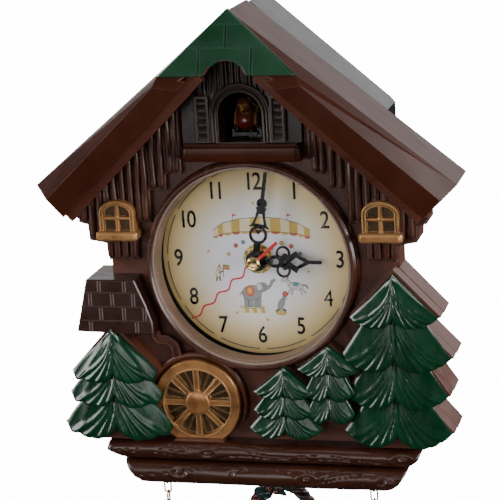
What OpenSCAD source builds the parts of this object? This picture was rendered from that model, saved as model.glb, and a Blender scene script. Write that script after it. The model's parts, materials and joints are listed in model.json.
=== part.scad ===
// Wall-hung quartz cuckoo clock with a chalet front, swinging pendulum and two chain weights.
// Every module is drawn about the dial centre: +X right, -Y towards the viewer, +Z up.
// place() then moves it so that the round entry hole of the hanging keyhole is the origin.

/* [Roof] */
// Width from eave tip to eave tip
roof_w = 240; // [200:1:288]
// Height of the ridge above the dial centre
ridge_h = 147.5; // [140:0.5:178]
// Height of the eave tips above the dial centre
eave_h = 49.7; // [44:0.1:56]
// Width of the front bargeboard at the eaves
fascia_w = 14; // [11:0.5:17]
// How far the bargeboard stands ahead of the dial at the eaves
fascia_front = 37.5; // [34:0.5:44]
// How far the lower edge of the tiled gable stands ahead of the dial
gable_front = 50; // [47:0.5:60]
// Wall of the roof moulding
roof_wall = 2.6; // [2:0.1:3.2]

/* [Case] */
// Width of the facade below the windows
facade_w = 168; // [150:1:190]
// Depth of the base below the dial centre
base_drop = 131.5; // [128:0.5:156]
// How far the facade stands ahead of the dial
facade_front = 12; // [10.5:0.1:14.4]
// How far the front moulding reaches behind the dial
case_back = 6; // [5:0.1:7.2]
// Wall of the front moulding and of the rear housing
case_wall = 2.4; // [2:0.1:3]

/* [Rear housing] */
// Width of the rear housing
housing_w = 147; // [140:1:176]
// Depth of the rear housing behind the front moulding
housing_depth = 44; // [42:0.5:54]
// Depth of the housing floor below the dial centre
housing_drop = 78; // [76:0.5:92]
// Height of the keyhole's round entry hole above the dial centre
hook_h = 100; // [90:0.5:108]
// Radius of the keyhole's round entry hole
hook_hole_r = 4.5; // [3.8:0.1:5.4]
// Width of the keyhole's slot
hook_slot_w = 4.4; // [3.6:0.1:5.2]

/* [Dial] */
// Radius of the dial plate
dial_r = 56.8; // [56:0.1:58]
// Radius of the recess ring where it meets the dial
opening_r = 55; // [54:0.1:56]
// Outer radius of the brown bezel
bezel_r = 61; // [60:0.1:64]
// How far the bezel's rim stands ahead of the dial
bezel_front = 21; // [20:0.1:25]
// Thickness of the clear cover over the hands
lens_t = 1.2; // [1:0.1:1.4]

/* [Hands] */
// Length of the hour hand
hour_len = 38.4; // [32:0.1:44]
// Length of the minute hand
minute_len = 53; // [44:0.1:54]
// Length of the second hand
second_len = 51; // [42:0.1:54]
// Length of the second hand's counterweight
second_tail = 18.5; // [15:0.1:22]
// Thickness of the hour and minute hands
hand_t = 0.7; // [0.5:0.1:0.8]

/* [Movement] */
// Width of the quartz movement
movement_w = 56; // [54:0.5:60]
// Depth of the quartz movement
movement_t = 17; // [16.8:0.1:18]
// Radius of the threaded bush
bush_r = 4; // [3.8:0.1:4.8]
// Radius of the second hand's arbor
second_arbor_r = 0.6; // [0.5:0.05:0.7]
// Wall of the minute and hour tubes
tube_wall = 0.65; // [0.55:0.05:0.75]
// Radial clearance of every turning arbor
running = 0.08; // [0.05:0.01:0.1]

/* [Bird and door] */
// Width of the bird's doorway
door_w = 25; // [22:0.5:27]
// Height of the doorway from its sill to the crown of its arch
door_h = 28; // [26:0.5:31]
// Height of the doorway's sill above the dial centre
door_sill = 72.5; // [71:0.5:74]
// How far the bird comes out
bird_travel = 20; // [16:0.5:22]
// Clearance between pieces that slide past each other
slide_gap = 0.4; // [0.3:0.05:0.5]

/* [Pendulum] */
// Distance from the pendulum's pivot to the middle of its wreath
pendulum_len = 80; // [76:0.5:92]
// Outer radius of the wreath
wreath_r = 22.5; // [19:0.5:27]
// Radius of the hole in the wreath
wreath_hole_r = 11; // [9:0.5:13]
// Radius of the pivot pin
pivot_r = 1.5; // [1.2:0.1:1.8]

/* [Chains] */
// Distance between the two chains
chain_spacing = 125; // [104:1:140]
// Number of links in each chain
chain_links = 15; // [11:2:21]
// Length of the straight part of each link
link_len = 3.4; // [2.8:0.1:4.2]
// Inner radius of each link's round ends
link_r = 1.4; // [1.3:0.1:1.8]
// Radius of the chain wire
link_wire_r = 0.55; // [0.45:0.05:0.6]
// Height of the pine-cone weight
cone_h = 54; // [44:1:66]
// Largest radius of the pine-cone weight
cone_r = 13; // [11:0.5:15]

/* [Power and sound] */
// Radius of the two large cells
cell_r = 13.1; // [12.8:0.1:13.2]
// Length of the two large cells
cell_len = 50; // [49:0.5:50.5]
// Radius of the small cell in the movement
small_cell_r = 7.1; // [6.9:0.1:7.2]
// Length of the small cell
small_cell_len = 50.4; // [49:0.1:50.5]
// Radius of the loudspeaker
speaker_r = 20; // [18:0.5:24]

/* [Hidden] */
$fn = 64;

brown = [0.17, 0.07, 0.045];
dark_brown = [0.12, 0.05, 0.03];
green = [0.02, 0.2, 0.11];
gold = [0.66, 0.45, 0.2];
brass = [0.8, 0.65, 0.3];
black = [0.05, 0.05, 0.055];
ivory = [0.86, 0.8, 0.68];
taupe = [0.5, 0.42, 0.34];
red = [0.75, 0.05, 0.05];
steel = [0.7, 0.71, 0.73];

// Planes along Y, in front of the dial (negative) or behind it (positive)
wall_y = -facade_front;
housing_front_y = case_back;
back_y = case_back + housing_depth;
cladding_y = wall_y - 7.5;
door_y = wall_y - 11;
tree_back_y = wall_y - 10.5;
tree_front_y = wall_y - 19;
log_front_y = wall_y - 16;
brick_y = wall_y - 15;
lens_y = -bezel_front + 2;

module place() {
  translate([0, -back_y, -hook_h]) children();
}

// Extrudes a front-view outline between two depths
module slab(y_front, y_rear) {
  translate([0, y_rear, 0]) rotate([90, 0, 0]) linear_extrude(y_rear - y_front) children();
}

// A round bar or hole along Y
module y_bar(x, z, r, y_front, y_rear, sides = 64) {
  translate([x, y_rear, z]) rotate([90, 0, 0]) cylinder(r = r, h = y_rear - y_front, $fn = sides);
}

// The convex block that spans a list of corners
module block(corners) {
  hull() polyhedron(points = corners, faces = [[for (i = [0:len(corners) - 1]) i]]);
}

// Moves every edge of an anticlockwise outline inwards by d
function edge_normal(a, b) = [a[1] - b[1], b[0] - a[0]] / norm(b - a);
function inset_corner(a, b, c, d) =
  let (n1 = edge_normal(a, b), n2 = edge_normal(b, c)) b + d * (n1 + n2) / (1 + n1 * n2);
function inset(pts, d) =
  let (n = len(pts)) [for (i = [0:n - 1]) inset_corner(pts[(i + n - 1) % n], pts[i], pts[(i + 1) % n], d)];

function mirrored(pts) = [for (i = [len(pts) - 1:-1:0]) [-pts[i][0], pts[i][1]]];

// ---- Roof -------------------------------------------------------------------------------------

eave_x = roof_w / 2;
roof_slope = (ridge_h - eave_h) / eave_x;
gable_drop = 34;
gable_base = ridge_h - gable_drop;
gable_x = 37;
gable_lean = atan2(gable_front - fascia_front, gable_drop);
// The bargeboard's outer corner sits inside the eave tip by the width of the tapering bevel
bevel = [8.3, 9.1, 6.5];
fascia_corner = [eave_x - bevel[0], -fascia_front, eave_h - bevel[2]];
soffit_corner = fascia_corner - [fascia_w * 0.68, 0, fascia_w * 0.74];
soffit_slope = (gable_base - 2.4 - soffit_corner[2]) / (soffit_corner[0] - 21);

// Height of the roof's underside above a point at distance x from the middle
function soffit(x) = soffit_corner[2] + (soffit_corner[0] - x) * soffit_slope;

// Height of the roof skin's inner face above the same point
function roof_under(x) = ridge_h - roof_wall * 1.3 - roof_slope * x;

// Corners of the roof with its skin moved in by t, its rear moved to y_rear and its foot lowered
function roof_corners(t, y_rear, foot) = let (down = t * 1.3) [
  for (side = [-1, 1]) each [
    [0, y_rear, ridge_h - down],
    [side * (eave_x - t), y_rear, eave_h - down + t * roof_slope],
    [side * (eave_x - t), -fascia_front + bevel[1] + t, eave_h - down + t * roof_slope],
    [side * (gable_x + 2.5 - t), -gable_front + 3 + t, gable_base - 0.8 - down],
    [0, -fascia_front + roof_wall + t, ridge_h - down],
    [side * (gable_x - t), -gable_front + t, gable_base - 1.6 - t * 0.4],
    [side * (fascia_corner[0] - t), fascia_corner[1] + t, fascia_corner[2]],
    [side * soffit_corner[0], soffit_corner[1] + t, soffit_corner[2] - foot],
    [side * 21, -gable_front - 1 + t, gable_base - 1.6],
    [side * soffit_corner[0], y_rear, soffit_corner[2] - foot]
  ]
];

module roof_shell() {
  color(brown) place() difference() {
    block(roof_corners(0, case_back, 0));
    block(roof_corners(roof_wall, case_back + 1, 60));
    // The open front under the bargeboards
    slab(-gable_front - 20, case_back + 1) polygon([
      [-soffit_corner[0], soffit_corner[2] - 60], [soffit_corner[0], soffit_corner[2] - 60],
      [soffit_corner[0], soffit_corner[2]], [21, gable_base - 1.6], [-21, gable_base - 1.6],
      [-soffit_corner[0], soffit_corner[2]]
    ]);
    // Room for the tiled gable, which closes the peak
    gable_frame() linear_extrude(40) square([2 * roof_w, 200], center = true);
    gable_frame() translate([0, 0, -12]) linear_extrude(20) hood_outline(0.1);
  }
}

// The plane of the tiled gable: X across, Y up the slope, Z out of the tiles' rear face
module gable_frame() {
  translate([0, -gable_front + roof_wall, gable_base]) rotate([90 - gable_lean, 0, 0]) children();
}

gable_slope_h = gable_drop / cos(gable_lean);
tile_rows = [gable_slope_h * 0.42, gable_slope_h * 0.77];

module gable_outline(edge) {
  polygon([[-gable_x - edge, 0], [gable_x + edge, 0], [0, gable_slope_h + edge * 0.4]]);
}

// The arch over the doorway that rises into the tiles
module hood_outline(grow) {
  half = 12.6 + grow;
  polygon([[-half, -30], [half, -30], [half, 0.4], [half - 3.4, 5 + grow], [-half + 3.4, 5 + grow], [-half, 0.4]]);
  translate([0, 0.5 + grow]) scale([1, 0.84]) circle(r = 9.4);
}

module gable_tiles() {
  color(green) place() gable_frame() difference() {
    hull() {
      linear_extrude(0.6) gable_outline(2.4);
      linear_extrude(roof_wall) gable_outline(0);
    }
    translate([0, 0, -1]) linear_extrude(roof_wall + 2) hood_outline(0.1);
    for (row = tile_rows) translate([-50, row - 0.35, roof_wall - 0.7]) cube([100, 0.7, 2]);
    translate([-0.6, tile_rows[0], roof_wall - 0.7]) cube([1.2, tile_rows[1] - tile_rows[0], 2]);
    for (x = [-14.6, 14.6]) translate([x - 0.6, -1, roof_wall - 0.7]) cube([1.2, tile_rows[0] + 1, 2]);
  }
}

// ---- Front moulding ---------------------------------------------------------------------------

facade_x = facade_w / 2;
eave_inner_x = soffit_corner[0] - 1.4;
chimney_top = -5;

// Trees: [middle x, tip z, [[half width, z] of each tier], foot z]
tree_data = [
  [-facade_x + 0.8, -35, [[25.8, -62], [28, -75], [32.6, -94]], -108.5],
  [facade_x - 2.2, -1, [[24.8, -26], [31.2, -49.5], [29, -71.5], [30.5, -93.5]], -104.5],
  [17.4, -56, [[17.9, -71], [18.3, -82], [21.4, -93]], -104],
  [43.6, -43, [[17.7, -57], [14.6, -70.5], [14.2, -83]], -92]
];

// One side of a tree from its tip down, as [half width, z]
function tree_side(tree, grow) = let (tiers = tree[2]) concat(
  [[0, tree[1] + grow * 1.4]],
  [for (k = [0:len(tiers) - 1]) each [
    [tiers[k][0] + grow, tiers[k][1] - grow * 0.3],
    [tiers[k][0] * 0.58 + grow, tiers[k][1] - 5 - grow]
  ]],
  [[8 + grow, tree[3]]]
);
function tree_outline(tree, grow) = let (side = tree_side(tree, grow), n = len(side)) concat(
  [for (i = [n - 1:-1:1]) [tree[0] + side[i][0], side[i][1]]],
  [[tree[0], side[0][1]]],
  [for (i = [1:n - 1]) [tree[0] - side[i][0], side[i][1]]]
);

// The plain middle of the facade, without the trees' and chimney's backings
function body_outline() = [
  [-72, -base_drop], [73, -base_drop], [84, -base_drop + 10.5], [94, -base_drop + 26],
  [facade_x, -base_drop + 30], [facade_x, 12.5], [95, 14.5], [95.5, 23.5], [eave_inner_x, 25],
  [eave_inner_x, roof_under(eave_inner_x)], [0, roof_under(0)],
  [-eave_inner_x, roof_under(eave_inner_x)], [-eave_inner_x, 25], [-95.5, 23.5], [-95, 14.5],
  [-facade_x, 12.5], [-facade_x, -base_drop + 24], [-90, -base_drop + 22], [-80, -base_drop + 14]
];
function chimney_outline() = [
  [-facade_x - 19.5, -37.6], [-facade_x + 26.5, -39], [-facade_x + 26.4, -31.8],
  [-facade_x + 23, -21], [-facade_x + 17, chimney_top - 1.6], [-facade_x - 12, chimney_top - 1.6]
];

// A hollow open-backed moulding with the given front outline
module open_shell(outline, y_front, y_rear, t) {
  difference() {
    slab(y_front, y_rear) polygon(outline);
    slab(y_front + t, y_rear + 1) polygon(inset(outline, t));
  }
}

bezel_gap = 1.4;

module doorway(grow, y_front, y_rear) {
  half = door_w / 2 + grow;
  slab(y_front, y_rear) {
    translate([-half, door_sill - grow]) square([2 * half, door_h - door_w / 2 + grow]);
    translate([0, door_sill + door_h - door_w / 2]) circle(r = half);
  }
}

module front_case() {
  color(brown) place() difference() {
    union() {
      difference() {
        union() {
          open_shell(body_outline(), wall_y, case_back, case_wall);
          for (tree = [tree_data[0], tree_data[1]]) open_shell(tree_outline(tree, 1.6), wall_y, case_back, case_wall);
          // Raised backings behind the two large trees, clear of the bezel, the wheel and the logs
          difference() {
            slab(tree_back_y, wall_y + 1) for (tree = [tree_data[0], tree_data[1]]) polygon(tree_outline(tree, 1.2));
            y_bar(0, 0, bezel_r + bezel_gap, tree_back_y - 1, wall_y);
            y_bar(wheel_centre[0], wheel_centre[1], wheel_r + 0.4, tree_back_y - 1, wall_y);
            translate([-200, tree_back_y - 1, -300]) cube([400, wall_y - tree_back_y + 1, 300 + log_top]);
          }
          open_shell(chimney_outline(), wall_y, case_back, case_wall);
        }
        // The inside walls where the trees and chimney join the body are open to it
        slab(wall_y + case_wall, case_back + 1) polygon(inset(body_outline(), case_wall));
      }
      // Posts for the rear housing's screws and for the dial mount
      for (p = screw_places) y_bar(p[0], p[1], 4, wall_y + 1, case_back);
      for (a = [45, 135, 225, 315]) rotate([0, a, 0]) y_bar(0, mount_post_r, 3.5, wall_y + 1, dial_t);
    }
    y_bar(0, 0, bezel_r - 0.6, wall_y - 1, wall_y + case_wall + 1);
    doorway(0, wall_y - 1, wall_y + case_wall + 1);
    for (p = screw_places) y_bar(p[0], p[1], screw_r, case_back - 12, case_back + 1);
  }
}

// ---- Cladding, doorway and windows ------------------------------------------------------------

board_steps = [[37.5, 53], [47, 43.6], [57, 25], [66, 3]];
surround_x = 34;

function cladding_outline() = [
  [surround_x, 61.5], [board_steps[0][0], 61.5], board_steps[0], [board_steps[1][0], board_steps[0][1]],
  board_steps[1], [board_steps[2][0], board_steps[1][1]], board_steps[2], [board_steps[3][0], board_steps[2][1]],
  board_steps[3], [facade_x, board_steps[3][1]], [facade_x, 12.5], [95, 14.5], [95.5, 23.5],
  [eave_inner_x, 25], [eave_inner_x, roof_under(eave_inner_x) - 5], [surround_x, roof_under(surround_x) - 5]
];
board_ribs = [
  [40, 54.5], [44.4, 54], [49.5, 45], [54.4, 44.6], [59.6, 26.5], [68.5, 4], [73.5, 4], [78.5, 4], [82, 4],
  [87, 15.5], [92, 16], [97, 26]
];
window_x = 76;
window_sill_z = 18.4;

module cladding_side() {
  difference() {
    union() {
      slab(cladding_y + 2.5, wall_y) polygon(cladding_outline());
      for (rib = board_ribs) {
        translate([rib[0], cladding_y + 2.5, rib[1]]) scale([1, 1.3, 1])
          cylinder(r = 1.9, h = roof_under(rib[0] + 1.9) - rib[1] - 5.5, $fn = 24);
      }
    }
    // A level seat for the window and its sill
    slab(cladding_y - 3, cladding_y + 2.5) translate([window_x - 13.2, window_sill_z - 3.2]) square([26.4, 25]);
  }
}

module cladding() {
  color(brown) place() {
    cladding_side();
    mirror([1, 0, 0]) cladding_side();
  }
}

module window_outline(half, arch_z) {
  translate([-half, 0]) square([2 * half, arch_z]);
  translate([0, arch_z]) scale([1, 0.72]) circle(r = half);
}

module arched_window() {
  y_seat = cladding_y + 2.5;
  translate([0, 0, window_sill_z]) {
    difference() {
      slab(y_seat - 5.5, y_seat) window_outline(10.6, 13.2);
      slab(y_seat - 6, y_seat - 2) window_outline(7.8, 12.2);
    }
    slab(y_seat - 4.6, y_seat - 1.9) translate([-1.2, 0]) square([2.4, 19]);
    slab(y_seat - 4.2, y_seat - 1.9) translate([-8.4, 8]) square([16.8, 2.4]);
    slab(y_seat - 8, y_seat) translate([-12.4, -2.6]) square([24.8, 5.2]);
  }
}

module windows() {
  color(gold) place() for (x = [-window_x, window_x]) translate([x, 0, 0]) arched_window();
}

shelf_top = door_sill - 0.6;
door_rib_r = 1.2;

module door_surround() {
  color(dark_brown) place() {
    difference() {
      union() {
        slab(door_y + 2, wall_y) polygon([
          [-surround_x, shelf_top], [surround_x, shelf_top], [surround_x, roof_under(surround_x) - 5],
          [0, roof_under(0) - 5], [-surround_x, roof_under(surround_x) - 5]
        ]);
        // Boards above the arch, under the gable
        for (k = [-5:5]) translate([k * 4.4, door_y + 2, door_sill + door_h - 1.8])
          cylinder(r = door_rib_r, h = 20.8, $fn = 24);
        // Raised double rim around the arch
        difference() {
          doorway(4.3, door_y, door_y + 3);
          doorway(2.4, door_y - 1, door_y + 1.2);
          translate([-40, -50, 0]) cube([80, 100, door_sill - 0.02]);
        }
        doorway(1.6, door_y, door_y + 3);
      }
      doorway(0, -80, wall_y + 1);
      translate([-40, -80, 0]) cube([80, 100, shelf_top]);
    }
  }
}

module shutters() {
  shutter_w = 8;
  shutter_h = 26;
  y_seat = door_y + 2;
  color(brown) place() for (side = [-1, 1]) {
    translate([side * (door_w / 2 + 9) - shutter_w / 2, 0, door_sill]) {
      difference() {
        slab(y_seat - 3.4, y_seat) square([shutter_w, shutter_h]);
        slab(y_seat - 4, y_seat - 1.4) translate([1.3, 1.3]) square([shutter_w - 2.6, shutter_h - 2.6]);
      }
      for (k = [0:5]) {
        translate([1.3, y_seat - 1.5, 2.3 + k * 4]) rotate([-24, 0, 0]) translate([0, -1.5, 0])
          cube([shutter_w - 2.6, 1.6, 2.6]);
      }
    }
  }
}

module perch_shelf() {
  shelf_front = door_y - 4;
  color(brown) place() translate([0, 0, shelf_top - 9.6]) {
    linear_extrude(8.2) difference() {
      union() {
        translate([-30, shelf_front]) square([60, wall_y - shelf_front]);
        translate([-surround_x + 0.5, shelf_front + 4]) square([2 * surround_x - 1, wall_y - shelf_front - 4]);
        for (x = [-29.5, 29.5]) translate([x, shelf_front + 4]) circle(r = 4);
      }
    }
    translate([-31.5, shelf_front + 2, 8.2]) cube([63, wall_y - shelf_front - 2, 1.4]);
  }
}

// ---- Chimney, chute, wheel --------------------------------------------------------------------

module brick_chimney() {
  rows = [chimney_top - 1.6, -14.2, -22.4, -30.9, -38.2];
  joints = [[3, 20], [-1.5, 12.5, 26], [-7, 5, 18, 31], [-1, 12, 25]];
  left = -facade_x - 15;
  color(brown) place() difference() {
    slab(brick_y, wall_y) polygon(chimney_outline());
    slab(brick_y - 1, wall_y + 1) polygon(tree_outline(tree_data[0], 1.3));
    for (k = [1:3]) translate([-200, brick_y - 1, rows[k] - 0.35]) cube([200, 1.8, 0.7]);
    for (k = [0:3]) for (x = joints[k]) {
      translate([left + x, brick_y - 1, rows[k + 1]]) cube([1.2, 1.8, rows[k] - rows[k + 1]]);
    }
  }
}

wheel_centre = [-37, -82.5];
wheel_r = 26.2;

module water_chute() {
  trough = [
    [-66, -39.6], [-56.6, -39.6], [-56.4, -42.8], [-51, -43.6], [-46, -45.4], [-43.8, -50], [-43.4, -55],
    [-52, -54.4], [-53, -51.6], [-57.6, -51], [-63.4, -48.6], [-65.6, -44.8]
  ];
  color(brown) place() difference() {
    slab(wall_y - 5, wall_y) polygon(trough);
    slab(wall_y - 6, wall_y - 2.4) polygon(inset(trough, 1.8));
    slab(wall_y - 7, wall_y + 1) polygon(tree_outline(tree_data[0], 1.3));
  }
}

module water_wheel() {
  color(gold) place() intersection() {
    translate([wheel_centre[0], 0, wheel_centre[1]]) {
      difference() {
        y_bar(0, 0, wheel_r, wall_y - 6, wall_y);
        y_bar(0, 0, wheel_r - 6.3, wall_y - 7, wall_y - 0.8);
      }
      y_bar(0, 0, 7.5, wall_y - 6, wall_y);
      for (a = [0:45:315]) rotate([0, a, 0]) translate([-1.6, wall_y - 4.4, 6]) cube([3.2, 4.4, wheel_r - 10]);
    }
    translate([-100, wall_y - 10, log_top]) cube([100, 20, 80]);
  }
}

// ---- Trees ------------------------------------------------------------------------------------

// One tier: a ridged skirt whose tip and corners lie back and whose hem stands forward
module tier(x, top, half, z, hem) {
  left = [[-half, z], [-half * 0.74, z - hem * 0.65], [-half * 0.48, z - hem], [-half * 0.22, z - hem * 0.65]];
  outline = concat([[0, top]], left, [[0, z - hem * 0.1]], mirrored(left));
  depth = [4, 6.5, 4, 1.6, 0.6, 0, 0.6, 1.6, 4, 6.5];
  n = len(outline);
  translate([x, 0, 0]) polyhedron(
    points = concat(
      [for (i = [0:n - 1]) [outline[i][0], tree_front_y + depth[i], outline[i][1]]],
      [for (p = outline) [p[0], tree_back_y, p[1]]]
    ),
    faces = concat(
      [for (i = [1:n - 2]) [0, i + 1, i]],
      [for (i = [1:n - 2]) [n, n + i, n + i + 1]],
      [for (i = [0:n - 1]) let (j = (i + 1) % n) [i, j, n + j]],
      [for (i = [0:n - 1]) let (j = (i + 1) % n) [i, n + j, n + i]]
    )
  );
}

module tree(data) {
  tiers = data[2];
  last = len(tiers) - 1;
  for (k = [0:last]) {
    top = k == 0 ? data[1] : tiers[k - 1][1] + 7;
    tier(data[0], top, tiers[k][0], tiers[k][1], k == last ? 10 : 6.5);
  }
}

// A tree that stands on the facade itself, cut to pass in front of the bezel
module standing_tree(data) {
  tree(data);
  slab(tree_back_y, wall_y) polygon(tree_outline(data, -1));
}

module tree_left() {
  color(green) place() tree(tree_data[0]);
}

module tree_right() {
  color(green) place() tree(tree_data[1]);
}

module tree_small_left() {
  color(green) place() difference() {
    standing_tree(tree_data[2]);
    y_bar(0, 0, bezel_r + bezel_gap, -bezel_front - 0.4, wall_y + 1);
  }
}

// The right-hand small tree is also cut away behind its two neighbours
module tree_small_right() {
  color(green) place() difference() {
    standing_tree(tree_data[3]);
    y_bar(0, 0, bezel_r + bezel_gap, -bezel_front - 0.4, wall_y + 1);
    for (k = [1, 2]) slab(tree_front_y - 1, wall_y + 1) polygon(tree_outline(tree_data[k], 3));
    slab(tree_front_y - 1, wall_y + 1) translate([tree_data[2][0] + 9, tree_data[2][2][2][1] - 6]) square([12, 21]);
  }
}

// ---- Logs -------------------------------------------------------------------------------------

log_joint = -base_drop + 15.5;
log_top = -base_drop + 27.5;

module log_bar(z, r, outline) {
  intersection() {
    translate([0, log_front_y + r, z]) rotate([0, 90, 0]) {
      cylinder(r = r, h = 220, center = true);
    }
    slab(log_front_y - 1, wall_y) polygon(outline);
  }
  intersection() {
    translate([-110, log_front_y + r, z - r]) cube([220, wall_y - log_front_y - r, 2 * r]);
    slab(log_front_y - 1, wall_y) polygon(outline);
  }
}

module log_upper() {
  outline = [
    [-82, log_joint], [86, log_joint], [92, log_joint + 6], [94.5, log_top],
    [-90, log_top], [-91, log_joint + 6]
  ];
  color(brown) place() log_bar((log_top + log_joint) / 2, (log_top - log_joint) / 2, outline);
}

module log_lower() {
  low = -base_drop;
  outline = [[-72, low], [73.5, low], [80, low + 4.5], [86, log_joint], [-82, log_joint], [-76, low + 5]];
  color(brown) place() log_bar((low + log_joint) / 2, (log_joint - low) / 2, outline);
}

// ---- Bezel, dial and clear cover --------------------------------------------------------------

// Turns a profile given as [radius, depth ahead of the dial] about the dial's axis
module turned() {
  rotate([90, 0, 0]) rotate_extrude($fn = 128) children();
}

ring_front_r = opening_r + 1.8;

module bezel_ring() {
  color(brown) place() turned() polygon([
    [ring_front_r + 1, facade_front - case_wall], [bezel_r - 0.7, facade_front - case_wall],
    [bezel_r - 0.7, facade_front], [bezel_r + 1, facade_front], [bezel_r + 0.9, facade_front + 3],
    [bezel_r, facade_front + 4], [bezel_r, bezel_front - 1.2], [bezel_r - 1.2, bezel_front],
    [ring_front_r + 1.9, bezel_front], [ring_front_r + 1, bezel_front - 0.8]
  ]);
}

module dial_ring() {
  color(taupe) place() turned() polygon([
    [opening_r, 10], [opening_r + 1, 9.6], [ring_front_r + 1, facade_front - case_wall],
    [ring_front_r + 1, bezel_front - 1.2], [ring_front_r, bezel_front - 1.2],
    [ring_front_r, bezel_front - 2], [ring_front_r - 0.8, bezel_front - 2 - lens_t]
  ]);
}

module dial_lens() {
  color([0.9, 0.95, 1, 0.3]) place() turned()
    polygon([
      [0, bezel_front - 2 - lens_t], [ring_front_r - 0.8, bezel_front - 2 - lens_t],
      [ring_front_r, bezel_front - 2], [0, bezel_front - 2]
    ]);
}

dial_t = 1;
mount_t = 2;
mount_post_r = bezel_r + 5;

module dial_plate() {
  color(ivory) place() difference() {
    y_bar(0, 0, dial_r, 0, dial_t, 128);
    y_bar(0, 0, bush_r, -1, dial_t + 1);
  }
}

module dial_mount() {
  color(black) place() difference() {
    slab(dial_t, dial_t + mount_t) {
      circle(r = dial_r + 5, $fn = 128);
      for (a = [45, 135, 225, 315]) rotate(a) translate([-5, dial_r]) square([10, mount_post_r + 4 - dial_r]);
    }
    y_bar(0, 0, bush_r, -1, dial_t + mount_t + 1);
  }
}

// ---- Quartz movement --------------------------------------------------------------------------

movement_y = dial_t + mount_t;
movement_wall = 1.2;
movement_top = 22;
movement_bottom = -38;
bay_top = -20.6;
cover_y = movement_y + movement_t - movement_wall;
movement_back_y = movement_y + movement_t;
small_cell_y = movement_back_y - small_cell_r - 1.2;
small_cell_z = (bay_top + movement_bottom) / 2;

// Wheel train: modules and teeth give the two centre distances
motion_module = 0.5;
motion_distance = 20 * motion_module;
third_module = 0.3;
third_distance = 34 * third_module;
minute_module = third_distance / 36;

minute_in_r = second_arbor_r + running;
minute_out_r = minute_in_r + tube_wall;
hour_in_r = minute_out_r + running;
hour_out_r = hour_in_r + tube_wall;
bush_in_r = hour_out_r + running;

// Planes of the hands and wheels along Y
bush_front = -4.2;
hour_y = -6.2;
minute_y = -8.6;
second_y = -11;
hour_wheel_y = movement_y + movement_wall + 0.8;
motion_wheel_y = hour_wheel_y + 2;
minute_wheel_y = motion_wheel_y + 2;
third_wheel_y = minute_wheel_y + 2;
second_wheel_y = third_wheel_y + 2;
wheel_t = 1;
knob_gap = 0.5;

module dial_washer() {
  color(brass) place() difference() {
    y_bar(0, 0, bush_r + 4.7, -0.8, 0);
    y_bar(0, 0, bush_r, -2, 1);
  }
}

module hex_nut() {
  color(brass) place() difference() {
    y_bar(0, 0, bush_r + 3, -3, -0.8, 6);
    y_bar(0, 0, bush_r, -4, 1);
  }
}

module shaft_bush() {
  color(brass) place() difference() {
    union() {
      y_bar(0, 0, bush_r, bush_front, movement_y + movement_wall);
    }
    y_bar(0, 0, bush_in_r, bush_front - 1, movement_y + movement_wall + 1);
  }
}

module movement_case() {
  half = movement_w / 2;
  color(black) place() difference() {
    translate([-half, movement_y, movement_bottom])
      cube([movement_w, movement_t - movement_wall, movement_top - movement_bottom]);
    // Wheel chamber
    translate([-half + movement_wall, movement_y + movement_wall, bay_top + movement_wall])
      cube([movement_w - 2 * movement_wall, movement_t, movement_top - bay_top - 2 * movement_wall]);
    // Open bay for the small cell
    translate([-half + movement_wall, movement_y + movement_wall, movement_bottom + movement_wall])
      cube([movement_w - 2 * movement_wall, movement_t, bay_top - movement_bottom - movement_wall]);
    y_bar(0, 0, bush_r, movement_y - 1, movement_y + movement_wall + 1);
  }
}

module movement_cover() {
  half = movement_w / 2;
  color(black) place() difference() {
    union() {
      translate([-half, cover_y, bay_top]) cube([movement_w, movement_wall, movement_top - bay_top]);
      y_bar(0, 0, 2.4, second_wheel_y + wheel_t + 0.8, cover_y);
      y_bar(0, third_distance, 2, second_wheel_y + wheel_t + 0.8, cover_y);
    }
    y_bar(0, 0, second_arbor_r + running, cover_y - 20, cover_y + 0.2);
    y_bar(0, third_distance, arbor_r + running, cover_y - 20, cover_y + 0.2);
    y_bar(0, -motion_distance, arbor_r + running, cover_y - 1, cover_y + 2);
  }
}

module small_cell() {
  color([0.2, 0.2, 0.22]) place() {
    translate([-small_cell_len / 2, small_cell_y, small_cell_z]) rotate([0, 90, 0])
      cylinder(r = small_cell_r, h = small_cell_len - 1.2);
    translate([small_cell_len / 2 - 1.2, small_cell_y, small_cell_z]) rotate([0, 90, 0])
      cylinder(r = 2.6, h = 1.2);
  }
}

arbor_r = 0.7;

// A toothed wheel whose tips stop just inside the pitch circle
module gear(teeth, gear_module, y, t) {
  tip = teeth * gear_module / 2 - 0.05;
  root = tip - 1.5 * gear_module;
  slab(y, y + t) polygon([
    for (k = [0:teeth - 1]) for (s = [[root, -0.3], [tip, -0.14], [tip, 0.14], [root, 0.3]])
      s[0] * [sin((k + s[1]) * 360 / teeth), cos((k + s[1]) * 360 / teeth)]
  ]);
}

module hour_wheel() {
  color(ivory) place() difference() {
    union() {
      y_bar(0, 0, hour_out_r, hour_y - 0.4, hour_wheel_y + wheel_t);
      gear(32, motion_module, hour_wheel_y, wheel_t);
    }
    y_bar(0, 0, hour_in_r, hour_y - 2, hour_wheel_y + wheel_t + 1);
  }
}

module minute_wheel() {
  color(steel) place() difference() {
    union() {
      y_bar(0, 0, minute_out_r, minute_y - 0.4, minute_wheel_y + wheel_t);
      gear(10, motion_module, motion_wheel_y, wheel_t);
      gear(64, minute_module, minute_wheel_y, wheel_t);
    }
    y_bar(0, 0, minute_in_r, minute_y - 2, minute_wheel_y + wheel_t + 1);
  }
}

module third_wheel() {
  color(ivory) place() translate([0, 0, third_distance]) {
    y_bar(0, 0, arbor_r, minute_wheel_y, cover_y);
    gear(8, minute_module, minute_wheel_y, wheel_t);
    gear(60, third_module, third_wheel_y, wheel_t);
  }
}

module second_wheel() {
  color(steel) place() {
    y_bar(0, 0, second_arbor_r, second_y - 0.5, cover_y);
    gear(8, third_module, third_wheel_y, wheel_t);
    gear(40, 0.35, second_wheel_y, wheel_t);
  }
}

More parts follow.
